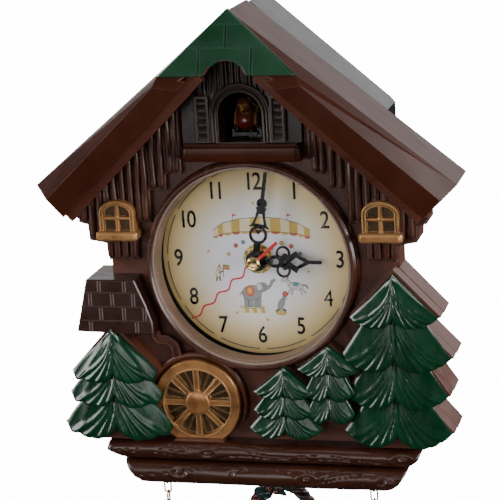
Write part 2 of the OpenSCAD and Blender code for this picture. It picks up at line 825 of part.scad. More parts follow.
module motion_wheel() {
  color(ivory) place() translate([0, 0, -motion_distance]) {
    y_bar(0, 0, arbor_r, hour_wheel_y, movement_back_y + knob_gap + 5);
    gear(8, motion_module, hour_wheel_y, wheel_t);
    gear(30, motion_module, motion_wheel_y, wheel_t);
  }
}

module set_knob() {
  knob_y = movement_back_y + knob_gap;
  color(black) place() translate([0, 0, -motion_distance]) difference() {
    union() {
      y_bar(0, 0, 3, knob_y, knob_y + 2);
      slab(knob_y + 1.6, knob_y + 6) polygon([
        for (k = [0:23]) for (s = [[5.2, -0.25], [5.6, 0.25]])
          s[0] * [sin((k + s[1]) * 15), cos((k + s[1]) * 15)]
      ]);
    }
    y_bar(0, 0, arbor_r, knob_y - 1, knob_y + 5);
  }
}

// ---- Hands ------------------------------------------------------------------------------------

// Angles at rest, clockwise from twelve
second_angle = 228.6;
minute_angle = 9.8;
hour_angle = 90.8;

// Turns a hand drawn pointing up, clockwise, and gives it its thickness
module hand(angle, y, t) {
  rotate([0, angle, 0]) slab(y, y + t) children();
}

module ring2d(r_out, r_in) {
  difference() {
    circle(r = r_out);
    circle(r = r_in);
  }
}

module minute_outline() {
  k = minute_len / 53;
  circle(r = 5.2);
  translate([-1.9, 0]) square([3.8, 12 * k]);
  translate([0, 16.2 * k]) ring2d(5.3, 3.7);
  translate([0, 16.2 * k]) polygon([[-2.4, 3], [2.4, 3], [0, 0.2]]);
  difference() {
    polygon([[-6.4, 20.4], [-4.4, 22], [-3, 26], [-2.4, 30.4], [-3.2, 32.4], [3.2, 32.4], [2.4, 30.4], [3, 26],
             [4.4, 22], [6.4, 20.4], [3, 20.9], [-3, 20.9]] * k);
    polygon([[-2.7, 22.6], [2.7, 22.6], [1, 28.6], [-1, 28.6]] * k);
  }
  translate([0, 34.8 * k]) circle(r = 3);
  translate([-1.1, 35 * k]) square([2.2, minute_len - 35 * k - 1]);
  translate([0, minute_len - 1]) circle(r = 1.1);
}

module hour_outline() {
  k = hour_len / 38.4;
  circle(r = 5.9);
  translate([-1.4, 4]) square([2.8, 5 * k]);
  difference() {
    translate([0, 11.4 * k]) scale([1, 1.25]) circle(r = 3.7);
    polygon([[-1.7, 8.6], [1.7, 8.6], [1.7, 12.4], [0, 14], [-1.7, 12.4]] * k);
  }
  difference() {
    translate([-3.4, 13.4 * k]) square([6.8, 5.4 * k]);
    translate([0, 17.4 * k]) circle(r = 0.8);
  }
  for (side = [-1, 1]) translate([side * 5.1, 16 * k]) {
    ring2d(4.2, 2.9);
    translate([-side * 1.9, 1]) circle(r = 1.7);
  }
  difference() {
    polygon([[-2.4, 17.6], [-6.6, 23.6], [-4, 25], [-1.2, 30.6], [1.2, 30.6], [4, 25], [6.6, 23.6], [2.4, 17.6]] * k);
    polygon([[0, 19.8], [2.7, 23.6], [0, 28.2], [-2.7, 23.6]] * k);
  }
  translate([-1, 29 * k]) square([2, hour_len - 29 * k - 1]);
  translate([0, hour_len - 1]) circle(r = 1);
}

module second_outline() {
  k = second_len / 51;
  // A wave that fades towards the tip, as a band of even width
  steps = 44;
  wave = [for (i = [0:steps]) let (t = i / steps) [1.5 * (1 - 0.35 * t) * sin(t * 1500), 2 + t * (49 * k)]];
  polygon(concat(
    [for (i = [0:steps]) wave[i] - [0.5, 0]],
    [for (i = [steps:-1:0]) wave[i] + [0.5, 0]]
  ));
  translate([-0.9, -second_tail]) square([1.8, second_tail]);
  circle(r = 2.6);
}

module hour_hand() {
  color(black) place() difference() {
    union() {
      hand(hour_angle, hour_y, hand_t) hour_outline();
      y_bar(0, 0, hour_out_r + 1.2, hour_y, bush_front - 0.4);
    }
    y_bar(0, 0, hour_out_r, hour_y - 1, 0);
  }
}

module minute_hand() {
  color(black) place() difference() {
    union() {
      hand(minute_angle, minute_y, hand_t) minute_outline();
      y_bar(0, 0, minute_out_r + 1.2, minute_y, hour_y - 0.8);
    }
    y_bar(0, 0, minute_out_r, minute_y - 1, 0);
  }
}

module second_hand() {
  color(red) place() difference() {
    union() {
      hand(second_angle, second_y, 0.6) second_outline();
      y_bar(0, 0, 2.2, second_y, minute_y - 0.8);
    }
    y_bar(0, 0, second_arbor_r, second_y - 1, 0);
  }
}

module second_cap() {
  color(brass) place() turned() polygon([
    [second_arbor_r, -second_y], [3.7, -second_y], [4, -second_y + 0.4], [3.8, -second_y + 2.2],
    [3, -second_y + 2.8], [2.2, -second_y + 2.6], [1.8, -second_y + 1.2], [second_arbor_r, -second_y + 1]
  ]);
}

// ---- Bird -------------------------------------------------------------------------------------

carriage_z = door_sill + 1.4;
carriage_half = 6.5;
rack_h = 1.2;
mesh_gap = 0.05;
pinion_r = 5;
pinion_z = carriage_z - rack_h - 2 * mesh_gap - pinion_r;
tooth_pitch = 360 / 16;
rack_pitch = PI * pinion_r / 8;
pinion_y = movement_y + 9;
carriage_rear = 38;

module bird_figure() {
  color([0.4, 0.1, 0.05]) place() {
    difference() {
      union() {
        translate([0, -6, carriage_z + 10]) scale([0.8, 1.15, 0.9]) sphere(r = 8.6, $fn = 32);
        translate([0, -11.5, carriage_z + 18]) sphere(r = 4.8, $fn = 32);
        // Beak
        translate([0, -15.6, carriage_z + 17.8]) rotate([90, 0, 0]) cylinder(r1 = 1.9, r2 = 0.4, h = 4.2, $fn = 24);
        // Tail
        block([
          [-2.4, 0, carriage_z + 12], [2.4, 0, carriage_z + 12], [-2.4, 0, carriage_z + 8], [2.4, 0, carriage_z + 8],
          [-4, 10, carriage_z + 14], [4, 10, carriage_z + 14], [-4, 10, carriage_z + 12.6], [4, 10, carriage_z + 12.6]
        ]);
        for (side = [-1, 1]) translate([side * 6.1, -5, carriage_z + 10.6]) rotate([24, 0, 0])
          scale([0.26, 1.1, 0.66]) sphere(r = 7.4, $fn = 32);
        y_bar(0, carriage_z + 3.4, 1.4, -7, -5);
        translate([0, -6, carriage_z + 2]) cylinder(r = 1.6, h = 3);
      }
      translate([-20, -60, carriage_z + 2 - 10]) cube([40, 100, 10]);
    }
  }
}

module bird_carriage() {
  color(black) place() {
    translate([-carriage_half, -12, carriage_z]) cube([2 * carriage_half, carriage_rear + 12, 2]);
    for (k = [1:16]) translate([-3, carriage_rear - k * rack_pitch, carriage_z - rack_h])
      cube([6, rack_pitch * 0.45, rack_h]);
  }
}

module bird_guide() {
  rail_x = carriage_half + slide_gap;
  rail_front = wall_y + case_wall;
  box_y = movement_y + 1;
  box_l = 16;
  color(black) place() {
    for (side = [0, 1]) mirror([side, 0, 0]) {
      translate([rail_x, rail_front, carriage_z - 1]) cube([1.6, carriage_rear - 8 - rail_front, 4.4]);
      translate([carriage_half - 1, rail_front + 2, carriage_z + 2 + slide_gap])
        cube([rail_x + 2.6 - carriage_half, carriage_rear - 10 - rail_front, 1]);
      translate([carriage_half - 1, box_y, carriage_z - 1]) cube([4, box_l, 1 - slide_gap]);
      // Cheeks of the motor box carry the pinion's pin
      difference() {
        translate([4.6, box_y, pinion_z - 7]) cube([6, box_l, carriage_z - slide_gap - pinion_z + 7]);
        translate([0, pinion_y, pinion_z]) rotate([0, 90, 0]) cylinder(r = 1 + running, h = 40, $fn = 32);
      }
      translate([0, box_y, pinion_z - 9]) cube([10.6, box_l, 2.4]);
    }
  }
}

module bird_pinion() {
  color(ivory) place() translate([0, pinion_y, pinion_z]) rotate([0, 90, 0]) {
    translate([0, 0, -3.4]) linear_extrude(6.8) polygon([
      for (k = [0:15]) for (s = [[pinion_r - 1.1, -0.3], [pinion_r, -0.14], [pinion_r, 0.14], [pinion_r - 1.1, 0.3]])
        s[0] * [cos((k + s[1]) * tooth_pitch), sin((k + s[1]) * tooth_pitch)]
    ]);
    translate([0, 0, -10.4]) cylinder(r = 1, h = 20.8, $fn = 32);
  }
}

// ---- Rear housing -----------------------------------------------------------------------------

housing_x = housing_w / 2;
housing_ridge = ridge_h - 1.5;
housing_slope = 0.875;
housing_shoulder = housing_ridge - housing_slope * (housing_x - 2.4);
screw_r = 1.5;
screw_places = [[-60, -70], [60, -70], [-66, 60], [66, 60]];
door_plate_w = 2 * cell_len + 16;
battery_door_h = 34;
battery_door_z = -housing_drop + case_wall + 2;
access_w = 64;
access_h = 54;
access_foot = -36;
door_plate_t = 1.8;

function housing_outline() = [
  [-housing_x, -housing_drop], [housing_x, -housing_drop], [housing_x, housing_shoulder - 3],
  [housing_x - 2.4, housing_shoulder], [0, housing_ridge], [-housing_x + 2.4, housing_shoulder],
  [-housing_x, housing_shoulder - 3]
];

module rear_housing() {
  color(black) place() difference() {
    union() {
      // A recessed collar meets the front moulding, then the full box starts
      open_box(inset(housing_outline(), 3), housing_front_y, housing_front_y + 7);
      open_box(housing_outline(), housing_front_y + 6, back_y);
      slab(housing_front_y + 6, housing_front_y + 6 + case_wall) difference() {
        polygon(housing_outline());
        polygon(inset(housing_outline(), 3 + case_wall));
      }
      // Back wall
      slab(back_y - case_wall, back_y) polygon(housing_outline());
      // Rails that hold the battery door on three sides
      translate([-door_plate_w / 2 - 3, back_y - case_wall - 5, battery_door_z - 2])
        cube([door_plate_w + 6, 5.01, battery_door_h + 5]);
      for (p = screw_places) y_bar(p[0], p[1], 4, housing_front_y, back_y - case_wall);
    }
    // Keyhole: a round entry hole with a narrower slot above it
    y_bar(0, hook_h, hook_hole_r, back_y - 5, back_y + 1);
    slab(back_y - 5, back_y + 1) {
      translate([-hook_slot_w / 2, hook_h]) square([hook_slot_w, 10]);
      translate([0, hook_h + 10]) circle(r = hook_slot_w / 2);
    }
    // Opening to the movement's knob and small cell
    slab(back_y - 5, back_y + 1) translate([-access_w / 2, access_foot]) square([access_w, access_h]);
    // Battery door: the opening, and the grooves it slides in from below
    slab(back_y - 20, back_y + 1) translate([-door_plate_w / 2 + 3, battery_door_z + 1])
      square([door_plate_w - 6, battery_door_h - 5]);
    slab(back_y - case_wall - 2.4, back_y - case_wall + 0.2) translate([-door_plate_w / 2 - slide_gap, -housing_drop - 1])
      square([door_plate_w + 2 * slide_gap, battery_door_z + battery_door_h + slide_gap + housing_drop + 1]);
    // Finger notch, which also lets the battery door's grip ribs out
    slab(back_y - case_wall - 1, back_y + 1) translate([-14, -housing_drop - 1]) square([28, 12]);
    // Sound slots behind the loudspeaker
    for (k = [-2:2]) slab(back_y - 5, back_y + 1) translate([speaker_x - 12, speaker_z + k * 6 - 1]) square([24, 2]);
    // Side wall windows for the switch and the button
    translate([housing_x - 5, switch_y - 2.2, switch_z - 6.2]) cube([10, 4.4, 12.4]);
    translate([housing_x - 5, switch_y, button_z]) rotate([0, 90, 0]) cylinder(r = button_r + slide_gap, h = 10);
    for (p = screw_places) y_bar(p[0], p[1], screw_r, housing_front_y - 1, back_y + 1);
    for (p = screw_places) y_bar(p[0], p[1], 3.2, back_y - 4, back_y + 1);
  }
}

module open_box(outline, y_front, y_rear) {
  slab(y_front, y_rear) difference() {
    polygon(outline);
    polygon(inset(outline, case_wall));
  }
}

module battery_door() {
  color(black) place() {
    translate([-door_plate_w / 2, back_y - case_wall - 2.4 + 0.3, -housing_drop + 0.3])
      cube([door_plate_w, door_plate_t, battery_door_z + battery_door_h + housing_drop - 0.3]);
    for (k = [0:4]) translate([-12, back_y - case_wall - 0.4, battery_door_z + 12 + k * 3]) cube([24, 0.9, 1.2]);
  }
}

tray_wall = 2;
cell_gap = 0.4;
tray_back_y = back_y - case_wall - 2.1 - slide_gap;
cell_y = tray_back_y - cell_r - cell_gap;
cell_z = -housing_drop + case_wall + tray_wall + cell_gap + cell_r;

module battery_tray() {
  half = cell_len + cell_gap + 1 + tray_wall;
  reach = cell_r + cell_gap;
  color(black) place() difference() {
    translate([-half, cell_y - reach - tray_wall, cell_z - reach - tray_wall])
      cube([2 * half, reach + tray_wall + cell_r * 0.6, 2 * (reach + tray_wall)]);
    translate([-half + tray_wall, cell_y, cell_z]) rotate([0, 90, 0])
      cylinder(r = reach, h = 2 * (half - tray_wall));
    translate([-half + tray_wall, cell_y, cell_z - reach]) cube([2 * (half - tray_wall), 40, 2 * reach]);
  }
}

module large_cells() {
  color([0.75, 0.6, 0.25]) place() for (side = [0, 1]) {
    translate([side == 0 ? -cell_len - 0.3 : 0.3, cell_y, cell_z]) rotate([0, 90, 0]) {
      cylinder(r = cell_r, h = cell_len - 1.6);
      translate([0, 0, cell_len - 1.6]) cylinder(r = 3, h = 1.6);
    }
  }
}

speaker_z = 48;
speaker_clear = 5.06;
// The loudspeaker keeps clear of the upper left screw post
speaker_x = screw_places[2][0] + sqrt(pow(speaker_r + speaker_clear, 2) - pow(screw_places[2][1] - speaker_z, 2));
board_x = 40;
switch_y = housing_front_y + 24;
switch_z = 10;
button_z = -16;
button_r = 3;

module speaker() {
  color(steel) place() {
    y_bar(speaker_x, speaker_z, speaker_r, back_y - case_wall - 3, back_y - case_wall);
    translate([speaker_x, back_y - case_wall - 3, speaker_z]) rotate([90, 0, 0])
      cylinder(r1 = speaker_r - 2, r2 = speaker_r * 0.5, h = 7);
    y_bar(speaker_x, speaker_z, speaker_r * 0.55, back_y - case_wall - 15, back_y - case_wall - 10);
  }
}

module sound_board() {
  color([0.05, 0.3, 0.12]) place() {
    translate([board_x, switch_y - 20, -30]) cube([1.6, 30, 70]);
    for (z = [-20, 0, 22]) translate([board_x - 4, switch_y - 12, z]) cube([4, 10, 10]);
    // Bodies of the slide switch and of the push button, against the housing's side wall
    difference() {
      translate([board_x + 1.6, switch_y - 5, switch_z - 9]) cube([housing_x - case_wall - board_x - 1.6, 10, 18]);
      translate([housing_x - case_wall - 4, switch_y - 3, switch_z - 7]) cube([10, 6, 14]);
    }
    difference() {
      translate([board_x + 1.6, switch_y - 5, button_z - 6]) cube([housing_x - case_wall - board_x - 1.6, 10, 12]);
      translate([housing_x - case_wall - 8, switch_y, button_z]) rotate([0, 90, 0]) cylinder(r = button_r + slide_gap, h = 20);
    }
  }
}

module sound_switch() {
  color(steel) place() {
    translate([housing_x - case_wall - 3.4, switch_y - 1.6, switch_z - 3]) cube([case_wall + 5, 3.2, 3]);
  }
}

module test_button() {
  color(red) place() translate([housing_x - case_wall - 5, switch_y, button_z]) rotate([0, 90, 0])
    cylinder(r = button_r, h = case_wall + 6.6);
}

// ---- Pendulum ---------------------------------------------------------------------------------

pendulum_y = 25;
pivot_z = -housing_drop - 6.5;
wreath_z = pivot_z - pendulum_len;
rod_r = 1.1;

module pendulum_hook() {
  color(black) place() {
    for (side = [-1, 1]) {
      translate([-5, pendulum_y + side * 4.6 - 1.2, pivot_z - 3]) cube([10, 2.4, -housing_drop - pivot_z + 3]);
    }
    y_bar(0, pivot_z, pivot_r, pendulum_y - 3.4, pendulum_y + 3.4);
  }
}

module pendulum_rod() {
  color(brass) place() {
    difference() {
      y_bar(0, pivot_z, pivot_r + 2, pendulum_y - 2, pendulum_y + 2);
      y_bar(0, pivot_z, pivot_r + running, pendulum_y - 3, pendulum_y + 3);
    }
    translate([0, pendulum_y, wreath_z + wreath_r - 3]) cylinder(r = rod_r, h = pendulum_len - wreath_r + 3 - pivot_r - 1);
  }
}

module pendulum_wreath() {
  middle_r = (wreath_r + wreath_hole_r) / 2;
  color(dark_brown) place() difference() {
    union() {
      translate([0, pendulum_y, wreath_z]) rotate([90, 0, 0]) rotate_extrude($fn = 96)
        translate([middle_r, 0]) scale([1, 0.8]) circle(r = (wreath_r - wreath_hole_r) / 2, $fn = 32);
      // Leaves and berries on the upper left of the wreath
      for (a = [20, 52, 84, 116, 148]) translate([0, pendulum_y, wreath_z]) rotate([0, -a, 0])
        translate([0, -3.4, middle_r]) scale([1, 0.5, 1.5]) sphere(r = 4, $fn = 20);
    }
    translate([0, pendulum_y, wreath_z]) cylinder(r = rod_r, h = wreath_r + 10);
  }
}

// ---- Chains and pine-cone weights -------------------------------------------------------------

chain_x = chain_spacing / 2;
chain_y = wall_y + 7;
link_gap = 0.1;
link_mid_r = link_r + link_wire_r;
link_pitch = link_len + 2 * link_r - link_gap;
eye_z = -base_drop - 3.4;
ring_z = eye_z + link_wire_r + link_gap - link_r;
link_top_z = ring_z - 2 * link_r + link_gap;
last_link = chain_links - 2;
chain_end_z = link_top_z - last_link * link_pitch - link_len - link_mid_r;
cone_top = chain_end_z + link_wire_r + link_gap - link_r;

// A wire link in the XZ plane whose upper half ring is centred on the origin
module wire_link(straight) {
  rotate([90, 0, 0]) rotate_extrude(angle = 180, $fn = 32)
    translate([link_mid_r, 0]) circle(r = link_wire_r, $fn = 16);
  translate([0, 0, -straight]) rotate([-90, 0, 0]) rotate_extrude(angle = 180, $fn = 32)
    translate([link_mid_r, 0]) circle(r = link_wire_r, $fn = 16);
  if (straight > 0) for (x = [-link_mid_r, link_mid_r]) {
    translate([x, 0, -straight]) cylinder(r = link_wire_r, h = straight, $fn = 16);
  }
}

module wire_ring() {
  rotate([90, 0, 0]) rotate_extrude($fn = 32) translate([link_mid_r, 0]) circle(r = link_wire_r, $fn = 16);
}

// Wire staples under the base
module chain_eyes() {
  color(steel) place() for (x = [-chain_x, chain_x]) translate([x, chain_y, eye_z + link_mid_r]) {
    rotate([-90, 0, 0]) rotate_extrude(angle = 180, $fn = 32)
      translate([link_mid_r, 0]) circle(r = link_wire_r, $fn = 16);
    for (side = [-1, 1]) translate([side * link_mid_r, 0, 0])
      cylinder(r = link_wire_r, h = -base_drop - eye_z - link_mid_r, $fn = 16);
  }
}

// The small round ring in each staple
module top_ring(x) {
  color(steel) place() translate([x, chain_y, ring_z]) rotate([0, 0, 90]) wire_ring();
}

module ring_left() {
  top_ring(-chain_x);
}

module ring_right() {
  top_ring(chain_x);
}

// Every other link is turned a quarter
module chain(x) {
  color(gold) place() for (k = [0:last_link]) {
    translate([x, chain_y, link_top_z - k * link_pitch]) rotate([0, 0, k % 2 == 0 ? 0 : 90]) wire_link(link_len);
  }
}

module chain_left() {
  chain(-chain_x);
}

module chain_right() {
  chain(chain_x);
}

module pine_cone(x) {
  scale_rows = 7;
  row_h = cone_h / scale_rows;
  color(dark_brown) place() translate([x, chain_y, cone_top]) {
    wire_ring();
    translate([0, 0, -link_mid_r - 4]) cylinder(r = 2, h = 4, $fn = 24);
    translate([0, 0, -link_mid_r - 4 - cone_h]) rotate_extrude($fn = 48) polygon(concat(
      [[0, 0]],
      [for (k = [0:scale_rows - 1]) each [
        [cone_r * sin(20 + 150 * k / scale_rows) * 0.86, k * row_h],
        [cone_r * sin(20 + 150 * (k + 0.8) / scale_rows), (k + 0.8) * row_h]
      ]],
      [[0, cone_h]]
    ));
  }
}

module cone_left() {
  pine_cone(-chain_x);
}

module cone_right() {
  pine_cone(chain_x);
}

front_case();
cladding();
door_surround();
shutters();
perch_shelf();
windows();
brick_chimney();
water_chute();
water_wheel();
tree_left();
tree_right();
tree_small_left();
tree_small_right();
log_upper();
log_lower();
roof_shell();
gable_tiles();
bezel_ring();
dial_ring();
dial_lens();
dial_plate();
dial_mount();
dial_washer();
hex_nut();
shaft_bush();
movement_case();
movement_cover();
small_cell();
hour_hand();
hour_wheel();
minute_hand();
minute_wheel();
second_hand();
second_wheel();
second_cap();
third_wheel();
motion_wheel();
set_knob();
bird_figure();
bird_carriage();
bird_guide();
bird_pinion();
rear_housing();
battery_door();
battery_tray();
large_cells();
sound_board();
speaker();
sound_switch();
test_button();
pendulum_hook();
pendulum_rod();
pendulum_wreath();
chain_eyes();
ring_left();
ring_right();
chain_left();
chain_right();
cone_left();
cone_right();
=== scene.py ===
import json
import random
from math import cos, exp, hypot, pi, radians, sin, sqrt

import bmesh
import bpy
from mathutils import Matrix, Vector, noise

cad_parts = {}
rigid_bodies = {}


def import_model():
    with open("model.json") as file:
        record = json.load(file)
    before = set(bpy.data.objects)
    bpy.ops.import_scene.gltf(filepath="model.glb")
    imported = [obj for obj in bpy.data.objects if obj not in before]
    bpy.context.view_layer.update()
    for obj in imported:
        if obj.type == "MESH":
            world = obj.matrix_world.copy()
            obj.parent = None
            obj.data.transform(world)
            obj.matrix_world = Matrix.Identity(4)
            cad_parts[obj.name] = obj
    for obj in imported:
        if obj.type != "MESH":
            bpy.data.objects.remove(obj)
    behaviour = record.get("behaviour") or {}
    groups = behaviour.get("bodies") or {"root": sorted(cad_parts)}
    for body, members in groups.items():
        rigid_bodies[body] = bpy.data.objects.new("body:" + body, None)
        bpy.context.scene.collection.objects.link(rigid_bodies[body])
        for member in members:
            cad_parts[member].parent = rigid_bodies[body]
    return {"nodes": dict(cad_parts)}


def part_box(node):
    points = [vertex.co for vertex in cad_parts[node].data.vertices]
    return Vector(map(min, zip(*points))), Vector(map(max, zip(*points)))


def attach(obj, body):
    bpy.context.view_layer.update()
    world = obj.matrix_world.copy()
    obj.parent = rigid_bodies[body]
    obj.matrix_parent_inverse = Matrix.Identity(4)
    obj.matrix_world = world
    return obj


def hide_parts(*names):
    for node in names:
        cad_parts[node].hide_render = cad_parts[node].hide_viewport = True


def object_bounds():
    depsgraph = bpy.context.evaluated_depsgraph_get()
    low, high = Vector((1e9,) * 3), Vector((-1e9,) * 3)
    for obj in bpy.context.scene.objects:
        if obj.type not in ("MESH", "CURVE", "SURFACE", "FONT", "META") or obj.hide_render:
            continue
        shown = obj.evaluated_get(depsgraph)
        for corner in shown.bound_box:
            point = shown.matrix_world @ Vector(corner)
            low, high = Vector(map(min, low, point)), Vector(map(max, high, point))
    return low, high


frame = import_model()
CAD_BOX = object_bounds()

# All shapes are drawn in millimetres about the dial's centre: x right, -y forward, z up.
MM = 0.001
DIAL = Vector((0.0, -0.050, -0.100))
ROOT = "case"


def at(p):
    """A point in millimetres about the dial, as a point of the frame in metres."""
    return Vector((p[0] * MM, p[1] * MM, p[2] * MM)) + DIAL


def lerp(a, b, t):
    return a + (b - a) * t


def smooth01(t):
    t = min(1.0, max(0.0, t))
    return t * t * (3 - 2 * t)


def wobble(x, y, z):
    """Smooth noise between about -1 and 1."""
    return noise.noise(Vector((x, y, z)))


# ---- Finishes ---------------------------------------------------------------------------------

def add_node(tree, kind, inputs=(), **settings):
    """Adds a node; each of its inputs is given as a value or as another node's output."""
    made = tree.nodes.new(kind)
    for key, value in settings.items():
        setattr(made, key, value)
    for key, value in dict(inputs).items():
        if isinstance(value, bpy.types.NodeSocket):
            tree.links.new(value, made.inputs[key])
        else:
            made.inputs[key].default_value = value
    return made


class Finish:
    """A node-built finish on Object coordinates, with a softened edge under its bump."""

    def __init__(self, name, rough, metallic=0.0, coat=0.0, specular=0.5):
        self.material = bpy.data.materials.new(name)
        self.material.use_nodes = True
        self.tree = self.material.node_tree
        self.tree.nodes.clear()
        self.skin = self.node("ShaderNodeBsdfPrincipled", {
            "Roughness": rough, "Metallic": metallic, "Coat Weight": coat, "Coat Roughness": 0.12,
            "Specular IOR Level": specular})
        self.node("ShaderNodeOutputMaterial", {0: self.skin.outputs[0]})
        self.coords = self.node("ShaderNodeTexCoord").outputs["Object"]
        self.normal = None

    def node(self, kind, inputs=(), **settings):
        return add_node(self.tree, kind, inputs, **settings)

    def mapped(self, stretch=(1, 1, 1), turn=(0, 0, 0), shift=(0, 0, 0)):
        return self.node("ShaderNodeMapping", {
            "Vector": self.coords, "Scale": stretch, "Rotation": turn, "Location": shift}).outputs[0]

    def cloud(self, scale, stretch=(1, 1, 1), turn=(0, 0, 0), detail=4.0, distortion=0.0):
        return self.node("ShaderNodeTexNoise", {
            "Vector": self.mapped(stretch, turn), "Scale": scale, "Detail": detail, "Roughness": 0.55,
            "Distortion": distortion}).outputs[0]

    def ramp(self, value, stops):
        made = self.node("ShaderNodeValToRGB", {0: value})
        bar = made.color_ramp
        while len(bar.elements) < len(stops):
            bar.elements.new(0.5)
        for element, (place, colour) in zip(bar.elements, stops):
            element.position = place
            element.color = (*colour, 1.0)
        return made.outputs[0]

    def grey(self, value, low, high, start=0.3, stop=0.7):
        """Spreads the part of a value from start to stop over low to high."""
        return self.node("ShaderNodeMapRange", {
            0: value, "From Min": start, "From Max": stop, "To Min": low, "To Max": high}).outputs[0]

    def two_tone(self, value, dark, light, stop=0.7):
        return self.ramp(self.grey(value, 0.0, 1.0, 0.3, stop), [(0.0, dark), (1.0, light)])

    def blend(self, factor, a, colour):
        """Lays a plain colour over a by the factor."""
        return self.node("ShaderNodeMix", {0: factor, 6: a, 7: (*colour, 1.0)}, data_type="RGBA").outputs[2]

    def soft_normal(self, radius):
        return self.node("ShaderNodeBevel", {"Radius": radius * MM}, samples=3).outputs[0]

    def rounded(self, radius):
        self.normal = self.soft_normal(radius)

    def edge_mask(self, radius=0.7):
        """1 along hard edges, 0 on the flats."""
        flat = self.node("ShaderNodeNewGeometry").outputs["Normal"]
        dot = self.node("ShaderNodeVectorMath", {0: self.soft_normal(radius), 1: flat},
                        operation="DOT_PRODUCT")
        return self.grey(dot.outputs["Value"], 1.0, 0.0, 0.85, 0.995)

    def bump(self, height, strength, depth):
        inputs = {"Height": height, "Strength": strength, "Distance": depth * MM}
        if self.normal is not None:
            inputs["Normal"] = self.normal
        self.normal = self.node("ShaderNodeBump", inputs).outputs[0]

    def done(self, colour, rough):
        for key, value in (("Base Color", colour), ("Roughness", rough), ("Normal", self.normal)):
            if value is not None:
                self.tree.links.new(value, self.skin.inputs[key])
        return self.material


def moulded_plastic(name, dark, light, edge, grain=60, rough=(0.24, 0.42), depth=0.18, coat=0.15,
                    specular=0.4):
    """Glossy moulded plastic: faint cloudy colour, fine flow lines along the grain, and hard edges turned to
    the edge colour, partly rubbed paint and partly a painted highlight.
    """
    f = Finish(name, rough[0], coat=coat, specular=specular)
    stretch = grain if isinstance(grain, tuple) else (grain, grain, grain)
    lines = f.cloud(1.0, stretch, distortion=0.6)
    # The edge colour along hard edges is partly rubbed paint and partly a painted highlight.
    base = f.blend(f.edge_mask(), f.two_tone(f.cloud(38.0), dark, light), edge)
    f.rounded(0.45)
    f.bump(lines, 0.5, depth)
    f.bump(f.cloud(900.0, detail=2.0), 0.25, 0.03)
    return f.done(base, f.grey(lines, *rough))


def glazed_green(name):
    """Deep green enamel-like paint, darker along its edges, with brush streaks."""
    f = Finish(name, 0.2, coat=0.05, specular=0.42)
    streaks = f.cloud(1.0, (240, 60, 70), (0, 0.3, 0), 2.0, 0.6)
    base = f.two_tone(f.cloud(55.0, detail=3.0), (0.0009, 0.0185, 0.0066), (0.0022, 0.036, 0.0135), 0.75)
    base = f.blend(f.edge_mask(0.5), base, (0.0016, 0.007, 0.004))
    f.rounded(0.35)
    f.bump(streaks, 0.4, 0.07)
    return f.done(base, f.grey(streaks, 0.13, 0.26))


def glazed_tile(name):
    """Green tile glaze that is pale along its edges, partly worn glaze and partly a painted highlight."""
    f = Finish(name, 0.3, coat=0.08, specular=0.35)
    clouds = f.cloud(60.0, detail=5.0)
    base = f.two_tone(clouds, (0.0009, 0.024, 0.0070), (0.0018, 0.033, 0.0110))
    # Pale colour along hard edges: partly worn glaze, partly a painted highlight.
    base = f.blend(f.edge_mask(0.5), base, (0.05, 0.13, 0.09))
    f.rounded(0.4)
    f.bump(f.cloud(700.0, detail=3.0), 0.3, 0.05)
    return f.done(base, f.grey(clouds, 0.3, 0.45))


def gold_wash(name, dark, light, groove):
    """Golden paint brushed over dark plastic: bright on the edges, partly from the brushed gold and partly as
    a painted highlight, and brown where it pools.
    """
    f = Finish(name, 0.36, metallic=0.55, coat=0.15)
    clouds = f.cloud(90.0, detail=6.0)
    fine = f.cloud(1500.0, detail=3.0)
    base = f.ramp(f.grey(clouds, 0.0, 1.0, 0.32, 0.68), [(0.0, dark), (0.55, light), (1.0, light)])
    base = f.blend(f.grey(fine, 0.0, 0.35, 0.45, 0.75), base, groove)
    # Bright edge colour: partly brushed gold on the edges, partly a painted highlight.
    base = f.blend(f.edge_mask(0.45), base, (0.78, 0.5, 0.22))
    f.rounded(0.3)
    f.bump(fine, 0.3, 0.05)
    return f.done(base, f.grey(clouds, 0.3, 0.48))


def worked_metal(name, colour, shade, rough=(0.18, 0.34), scale=500.0):
    """Bright metal with faint brush lines."""
    f = Finish(name, rough[0], metallic=1.0)
    clouds = f.cloud(scale)
    f.rounded(0.12)
    f.bump(f.cloud(1.0, (900, 120, 900), detail=2.0), 0.12, 0.008)
    return f.done(f.ramp(clouds, [(0.3, shade), (0.7, colour)]), f.grey(clouds, *rough))


def flat_paint(name, dark, light, rough, scale=250.0, coat=0.1):
    """Even paint with a fine tooth."""
    f = Finish(name, rough[0], coat=coat)
    clouds = f.cloud(scale)
    f.rounded(0.12)
    f.bump(f.cloud(2500.0, detail=2.0), 0.2, 0.02)
    return f.done(f.ramp(clouds, [(0.3, dark), (0.7, light)]), f.grey(clouds, *rough))


def dial_paper(name):
    """Printed paper, cool and pale in the middle and golden beige at the rim; the darkening towards the rim
    is painted shade under the bezel.
    """
    f = Finish(name, 0.55)
    spread = 18.0
    flat = f.mapped((spread, 0.001, spread), shift=(0.0, 0.0, -DIAL.z * spread))
    reach = f.node("ShaderNodeVectorMath", {0: flat}, operation="LENGTH")
    # Radial ramp: the beige tint at the rim is the print, and its darkening towards the rim is painted shade.
    base = f.ramp(reach.outputs["Value"], [
        (0.0, (0.78, 0.77, 0.86)), (0.42, (0.82, 0.80, 0.86)), (0.62, (0.80, 0.75, 0.66)),
        (0.80, (0.73, 0.58, 0.31)), (0.97, (0.56, 0.39, 0.15)),
    ])
    fibre = f.cloud(1400.0)
    base = f.blend(f.grey(fibre, 0.0, 0.05), base, (0.5, 0.45, 0.38))
    f.bump(fibre, 0.15, 0.02)
    return f.done(base, f.grey(fibre, 0.45, 0.6))


